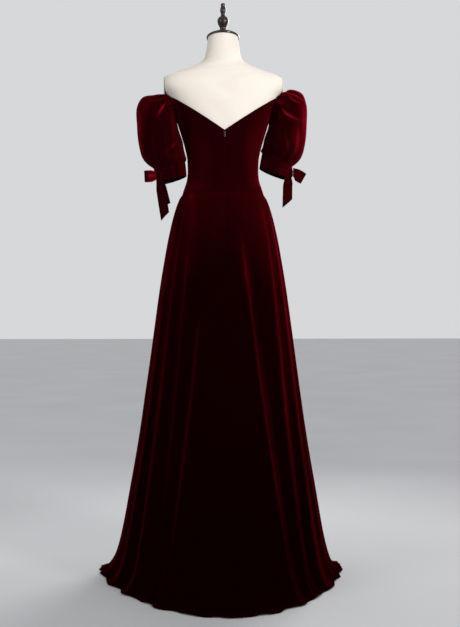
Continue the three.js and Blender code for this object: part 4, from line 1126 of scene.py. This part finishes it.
# The knot: a rounded block of wound ribbon, with grooves that run down it as cosines round the block.
def bowKnot(knot, facing):
    front = np.array([math.cos(math.radians(facing)), math.sin(math.radians(facing)), 0])
    side = np.array([-front[1], front[0], 0])
    level = np.sin(np.linspace(0.497, -0.497, 33) * np.pi)[:, None]
    around = np.linspace(0, 2 * np.pi, 72, endpoint=False)[::-1]
    girth = (1 - np.abs(level) ** 3) ** (1 / 3) * (1 - knotSize["waist"] * bell(level * 1.6))
    grooves = 0.5 + 0.5 * np.cos(2 * knotSize["grooves"] * around + 1.2 * level)
    grooved = girth * (1 - knotSize["groove"] * grooves)
    wide = np.cos(around) * knotSize["wide"] * grooved / 2
    deep = np.sin(around) * knotSize["deep"] * grooved / 2
    high = np.broadcast_to(level * knotSize["high"] / 2, wide.shape)
    spread = wide[..., None] * side + deep[..., None] * front
    return np.array(knot, float) + spread + high[..., None] * np.array([0, 0, 1])


def buildBow(name, bow):
    knotName = f"bow_knot_{name}"
    knot = solidMesh(knotName + "_cloth", bowKnot(bow["knot"], bow["facing"]), litRibbonVelvet)
    standsFor(knot, knotName)
    materials = [litRibbonVelvet, velvetBack]
    for part, loop in zip(("outer", "inner"), rowsOf(bow["loops"])):
        node = f"bow_loop_{part}_{name}"
        grid, paintedSheen = bowLoop(bow["knot"], loop)
        piece = clothMesh(node + "_cloth", grid, ribbon["thick"], materials, closed=True, paintedShading=paintedSheen)
        finishSheet(piece, node, grid, closed=True)
    for part, tail in zip(("long", "short"), rowsOf(bow["tails"])):
        node = f"bow_tail_{part}_{name}"
        grid = bowTail(bow["knot"], bow["facing"], tail)
        piece = clothMesh(node + "_cloth", grid, ribbon["thick"], materials)
        finishSheet(piece, node, grid)


for sideName, bowSizes in bows.items():
    buildBow(sideName, bowSizes)
print("bows built")


# A coil tooth: half its length, depth and height, how far it stands aside and proud of the tape, and
# how much it tapers.
coil = {"long": 0.52, "deep": 0.3, "high": 0.42, "aside": 0.16, "proud": 0.05, "taper": 0.9}


# The zip: a narrow tape in the slot of the back seam with two rows of coil teeth on it.
def buildZip():
    z = np.linspace(zipSize["top"], zipSize["end"] + 4, 120)
    onBody = bodicePoint(np.zeros_like(z), z)[:, 1]
    upper = {"z": skirtSections["z"][:-1], "drop": skirtSections["drop"][:-1]}
    onSkirt = skirtPoint(np.zeros_like(z), along(upper, "z", z, "drop"))[:, 1]
    y = np.where(z > waistSeam, onBody, onSkirt)
    across = np.linspace(-0.5, 0.5, 7) * zipSize["width"]
    grid = np.stack(np.broadcast_arrays(across, y[:, None], z[:, None]), axis=-1)
    tape = clothMesh("zip_tape", grid, zipSize["thick"], [zipNylon])
    count = int((z[0] - z[-1]) / zipSize["pitch"])
    level = np.linspace(z[0] - 1, z[-1] + 1, count)
    side = np.where(np.arange(count) % 2 == 0, -1, 1) * coil["aside"]
    face = np.interp(level, z[::-1], y[::-1]) - zipSize["thick"] / 2
    ring = np.linspace(0, 2 * np.pi, 8, endpoint=False)
    end = np.linspace(-1, 1, 5)
    girth = np.sqrt(1 - (coil["taper"] * end) ** 2)[:, None]
    deep, high = coil["deep"] * girth * np.sin(ring), coil["high"] * girth * np.cos(ring)
    tooth = np.stack(np.broadcast_arrays(coil["long"] * end[:, None], deep, high), axis=-1)
    middle = np.stack([side, face - coil["proud"], level], axis=-1)
    points = (middle[:, None, None] + tooth[None]).reshape(-1, 3)
    index = np.arange(len(points)).reshape(count, len(end), len(ring))
    wide = np.concatenate([index, index[:, :, :1]], axis=2)
    quads = np.stack(cellCorners(np.moveaxis(wide, 0, -1)), axis=-1).reshape(-1, 4)
    strips = np.array([(0, 1, 2, 3), (0, 3, 4, 7), (4, 5, 6, 7)])  # a ring of eight points as three quads
    caps = np.concatenate([index[:, 0][:, strips], index[:, -1][:, strips[:, ::-1]]]).reshape(-1, 4)
    teeth = putMesh("zip_teeth", points, np.concatenate([quads, caps]), materials=[zipNylon])
    standsFor(tape, "zip_chain")


# A copy of a small hard CAD node with its edges rounded off.
def roundedCopy(node, body, width):
    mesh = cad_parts[node].data.copy()
    welded = bmesh.new()
    welded.from_mesh(mesh)
    bmesh.ops.remove_doubles(welded, verts=welded.verts, dist=1e-6)
    bmesh.ops.dissolve_limit(welded, angle_limit=math.radians(2), verts=welded.verts, edges=welded.edges)
    welded.to_mesh(mesh)
    welded.free()
    mesh.materials.clear()
    mesh.materials.append(nickel)
    piece = putObject(node + "_metal", mesh)
    bevel = piece.modifiers.new("edges", "BEVEL")
    bevel.width, bevel.segments, bevel.limit_method = width * mm, 3, "ANGLE"
    bevel.angle_limit = math.radians(40)
    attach(piece, body)
    standsFor(piece, node)


buildZip()
roundedCopy("zip_slider", "dress", 0.35)
roundedCopy("zip_pull", "pull", 0.25)
print("zip built")


# The form: the figure's surface under the cloth, flat at the sides, with an oval plate on each.
formSize = {"inset": 0.8, "bust": 0.6, "bottom": 860, "sideCurve": 1.5}
formRim = ((0.996, 0.2), (0.98, 0), (0.7, 0))  # how much of the foot's size, and how high above it
armPlateRim = table("reach rise", (0.6, 1), (0.965, 1), (1, 0.6), (1, -0.6), (0.965, -1), (0.6, -1))


def formPoint(angle, z):
    return bodyPoint(angle, z, formSize["bust"])


# Keeps a value within a limit either way, turning over it in a short curve.
def softLimit(x, limit, curve):
    over = np.clip((np.abs(x) - (limit - curve)) / (2 * curve), 0, 1)
    held = limit - curve + curve * (2 * over - over**2)
    return np.sign(x) * np.where(np.abs(x) > limit - curve, held, np.abs(x))


def buildForm():
    z = np.linspace(neck["top"], formSize["bottom"], 260)[:, None]
    angle = np.linspace(0.5 * np.pi, 2.5 * np.pi, 144, endpoint=False)  # the map's own seam lies at a side
    grid = movedOut(formPoint, *np.broadcast_arrays(angle, z), -formSize["inset"])
    grid[..., 0] = softLimit(grid[..., 0], armFace, formSize["sideCurve"])
    foot = grid[-1:].copy()
    middle = foot.mean(axis=1, keepdims=True)
    rim = [mix(middle, foot, reach) + np.array([0, 0, rise]) for reach, rise in formRim]
    torso = solidMesh("form_torso_cover", np.concatenate([grid[:-1], *rim]), jersey)
    standsFor(torso, "form_torso")


def buildArmPlates():
    reach, rise = armPlateRim["reach"][:, None], armPlateRim["rise"][:, None]
    turn = np.linspace(0, 2 * np.pi, 64, endpoint=False)
    x = armFace + plateGap + armPlate["thick"] / 2 * (1 + rise)
    y = armPlate["y"] + armPlate["halfDepth"] * reach * np.cos(turn)
    z = armPlate["height"] + armPlate["halfHeight"] * reach * np.sin(turn)
    rings = np.stack(np.broadcast_arrays(x, y, z), axis=-1)
    for name, side in (("right", 1), ("left", -1)):
        plate = solidMesh(f"form_arm_plate_{name}_cover", onSide(rings, side), jersey)
        standsFor(plate, f"form_arm_plate_{name}")


buildForm()
buildArmPlates()
print("form built")


# Turned pieces: radius and height down or up their outline.
capProfile = table("r z", (48.5, 0), (49.5, 3.5), (46, 8), (34, 13), (18, 16.5), (11, 18))
knobProfile = table(
    "r z",
    (12.5, 1636), (9.8, 1641), (9.6, 1646), (12, 1652), (15.4, 1659), (16.9, 1666), (16.2, 1673), (12, 1679),
    (7.2, 1683), (6.5, 1689), (8.2, 1695), (9, 1701), (7.6, 1707), (6.6, 1711), (6.9, 1717), (5, 1720.5),
)
baseProfile = table(
    "r z",
    (138.5, 0), (140, 1.5), (140, 4), (137, 6.5), (130, 9), (38, 14), (28, 16), (24.5, 20), (22, 30),
    (20, 51), (19, 52),
)
poleProfile = table("r z", (12.2, 52.3), (12.5, 53), (12.5, 858), (12.2, 859.7))


# A turned solid: the outline by its length along a smooth curve, carried round the vertical.
def turnedGrid(profile, rows, columns):
    length = np.concatenate([[0], np.cumsum(np.hypot(np.diff(profile["r"]), np.diff(profile["z"])))])
    at = np.linspace(0, length[-1], rows)
    outline = {**profile, "length": length}
    r, z = (along(outline, "length", at, column)[:, None] for column in ("r", "z"))
    turn = np.linspace(0, 2 * np.pi, columns, endpoint=False)[::-1]
    grid = np.stack(np.broadcast_arrays(r * np.cos(turn), r * np.sin(turn), z), axis=-1)
    return grid if profile["z"][-1] < profile["z"][0] else grid[::-1][:, ::-1]


def buildStand():
    cap = turnedGrid(capProfile, 40, 96)
    tilt = -math.atan(neck["tilt"])
    y, z = cap[..., 1].copy(), cap[..., 2].copy()
    foot = neck["top"] + neck["capGap"] - neck["capForward"] * neck["tilt"]
    cap[..., 1] = y * math.cos(tilt) - z * math.sin(tilt) + neck["capForward"]
    cap[..., 2] = y * math.sin(tilt) + z * math.cos(tilt) + foot
    pieces = (
        ("form_neck_cap", cap, darkWood, "dark_wood"),
        ("form_finial", turnedGrid(knobProfile, 140, 64), darkWood, "dark_wood"),
        ("stand_base", turnedGrid(baseProfile, 120, 128), blackSteel, "steel"),
        ("stand_pole", turnedGrid(poleProfile, 60, 48), blackSteel, "steel"),
    )
    for node, grid, material, slot in pieces:
        standsFor(solidMesh(node + "_turned", grid, material), node)


buildStand()
print("stand built")


# The set: a pale floor, soft lights and the camera at the photograph's angle.
studio = {
    "floorSize": 60.0,
    "background": (0.94, 0.95, 0.97),
    "backgroundStrength": 0.72,
    "lights": {  # each soft light aims at a height on the axis, within a spread in degrees
        "key": {"place": (1.9, -2.4, 1.9), "size": 0.7, "power": 9, "aim": 1.45, "spread": 50},
        "fill": {"place": (-2.2, -1.8, 1.9), "size": 1.4, "power": 4.4, "aim": 1.4, "spread": 70},
        "before": {"place": (1.6, 2.6, 2.2), "size": 1.6, "power": 22, "aim": 1.2, "spread": 90},
    },
}
cameraView = {"place": (-0.157, -3.184, 0.7905), "turn": -3.2, "lens": 61.0}


def buildStudio():
    size = studio["floorSize"] / 2 / mm
    corners = np.array([(-size, -size, 0), (size, -size, 0), (size, size, 0), (-size, size, 0)])
    mesh = bpy.data.meshes.new("floor")
    mesh.from_pydata((corners * mm).tolist(), [], [(0, 1, 2, 3)])
    floor = putObject("floor", mesh)
    material, tree, shader = newMaterial("paleFloor")
    place = addNode(tree, "ShaderNodeTexCoord").outputs["Object"]
    cloudy = addNoise(tree, place, 1.2, 2.0)
    stops = [(0.3, (0.55, 0.55, 0.56)), (0.7, (0.59, 0.59, 0.60))]
    tree.links.new(addRamp(tree, cloudy, stops), shader.inputs["Base Color"])
    shader.inputs["Roughness"].default_value = 0.8
    mesh.materials.append(material)

    world = bpy.data.worlds.new("studio")
    world.use_nodes = True
    sky = world.node_tree.nodes["Background"]
    sky.inputs["Color"].default_value = (*studio["background"], 1)
    sky.inputs["Strength"].default_value = studio["backgroundStrength"]
    bpy.context.scene.world = world
    bpy.context.scene.view_settings.view_transform = "Standard"

    for name, light in studio["lights"].items():
        data = bpy.data.lights.new(name, "AREA")
        data.size, data.energy, data.spread = light["size"], light["power"], math.radians(light["spread"])
        lamp = putObject(name, data)
        lamp.location = light["place"]
        x, y, z = np.array([0, 0, light["aim"]]) - light["place"]
        lamp.rotation_euler = (math.atan2(math.hypot(x, y), -z), 0, math.atan2(-x, y))

    lens = bpy.data.cameras.new("camera")
    lens.lens, lens.sensor_width = cameraView["lens"], 36.0
    camera = putObject("camera", lens)
    camera.location = cameraView["place"]
    camera.rotation_euler = (math.pi / 2, 0, math.radians(cameraView["turn"]))
    bpy.context.scene.camera = camera


buildStudio()
print("studio built")
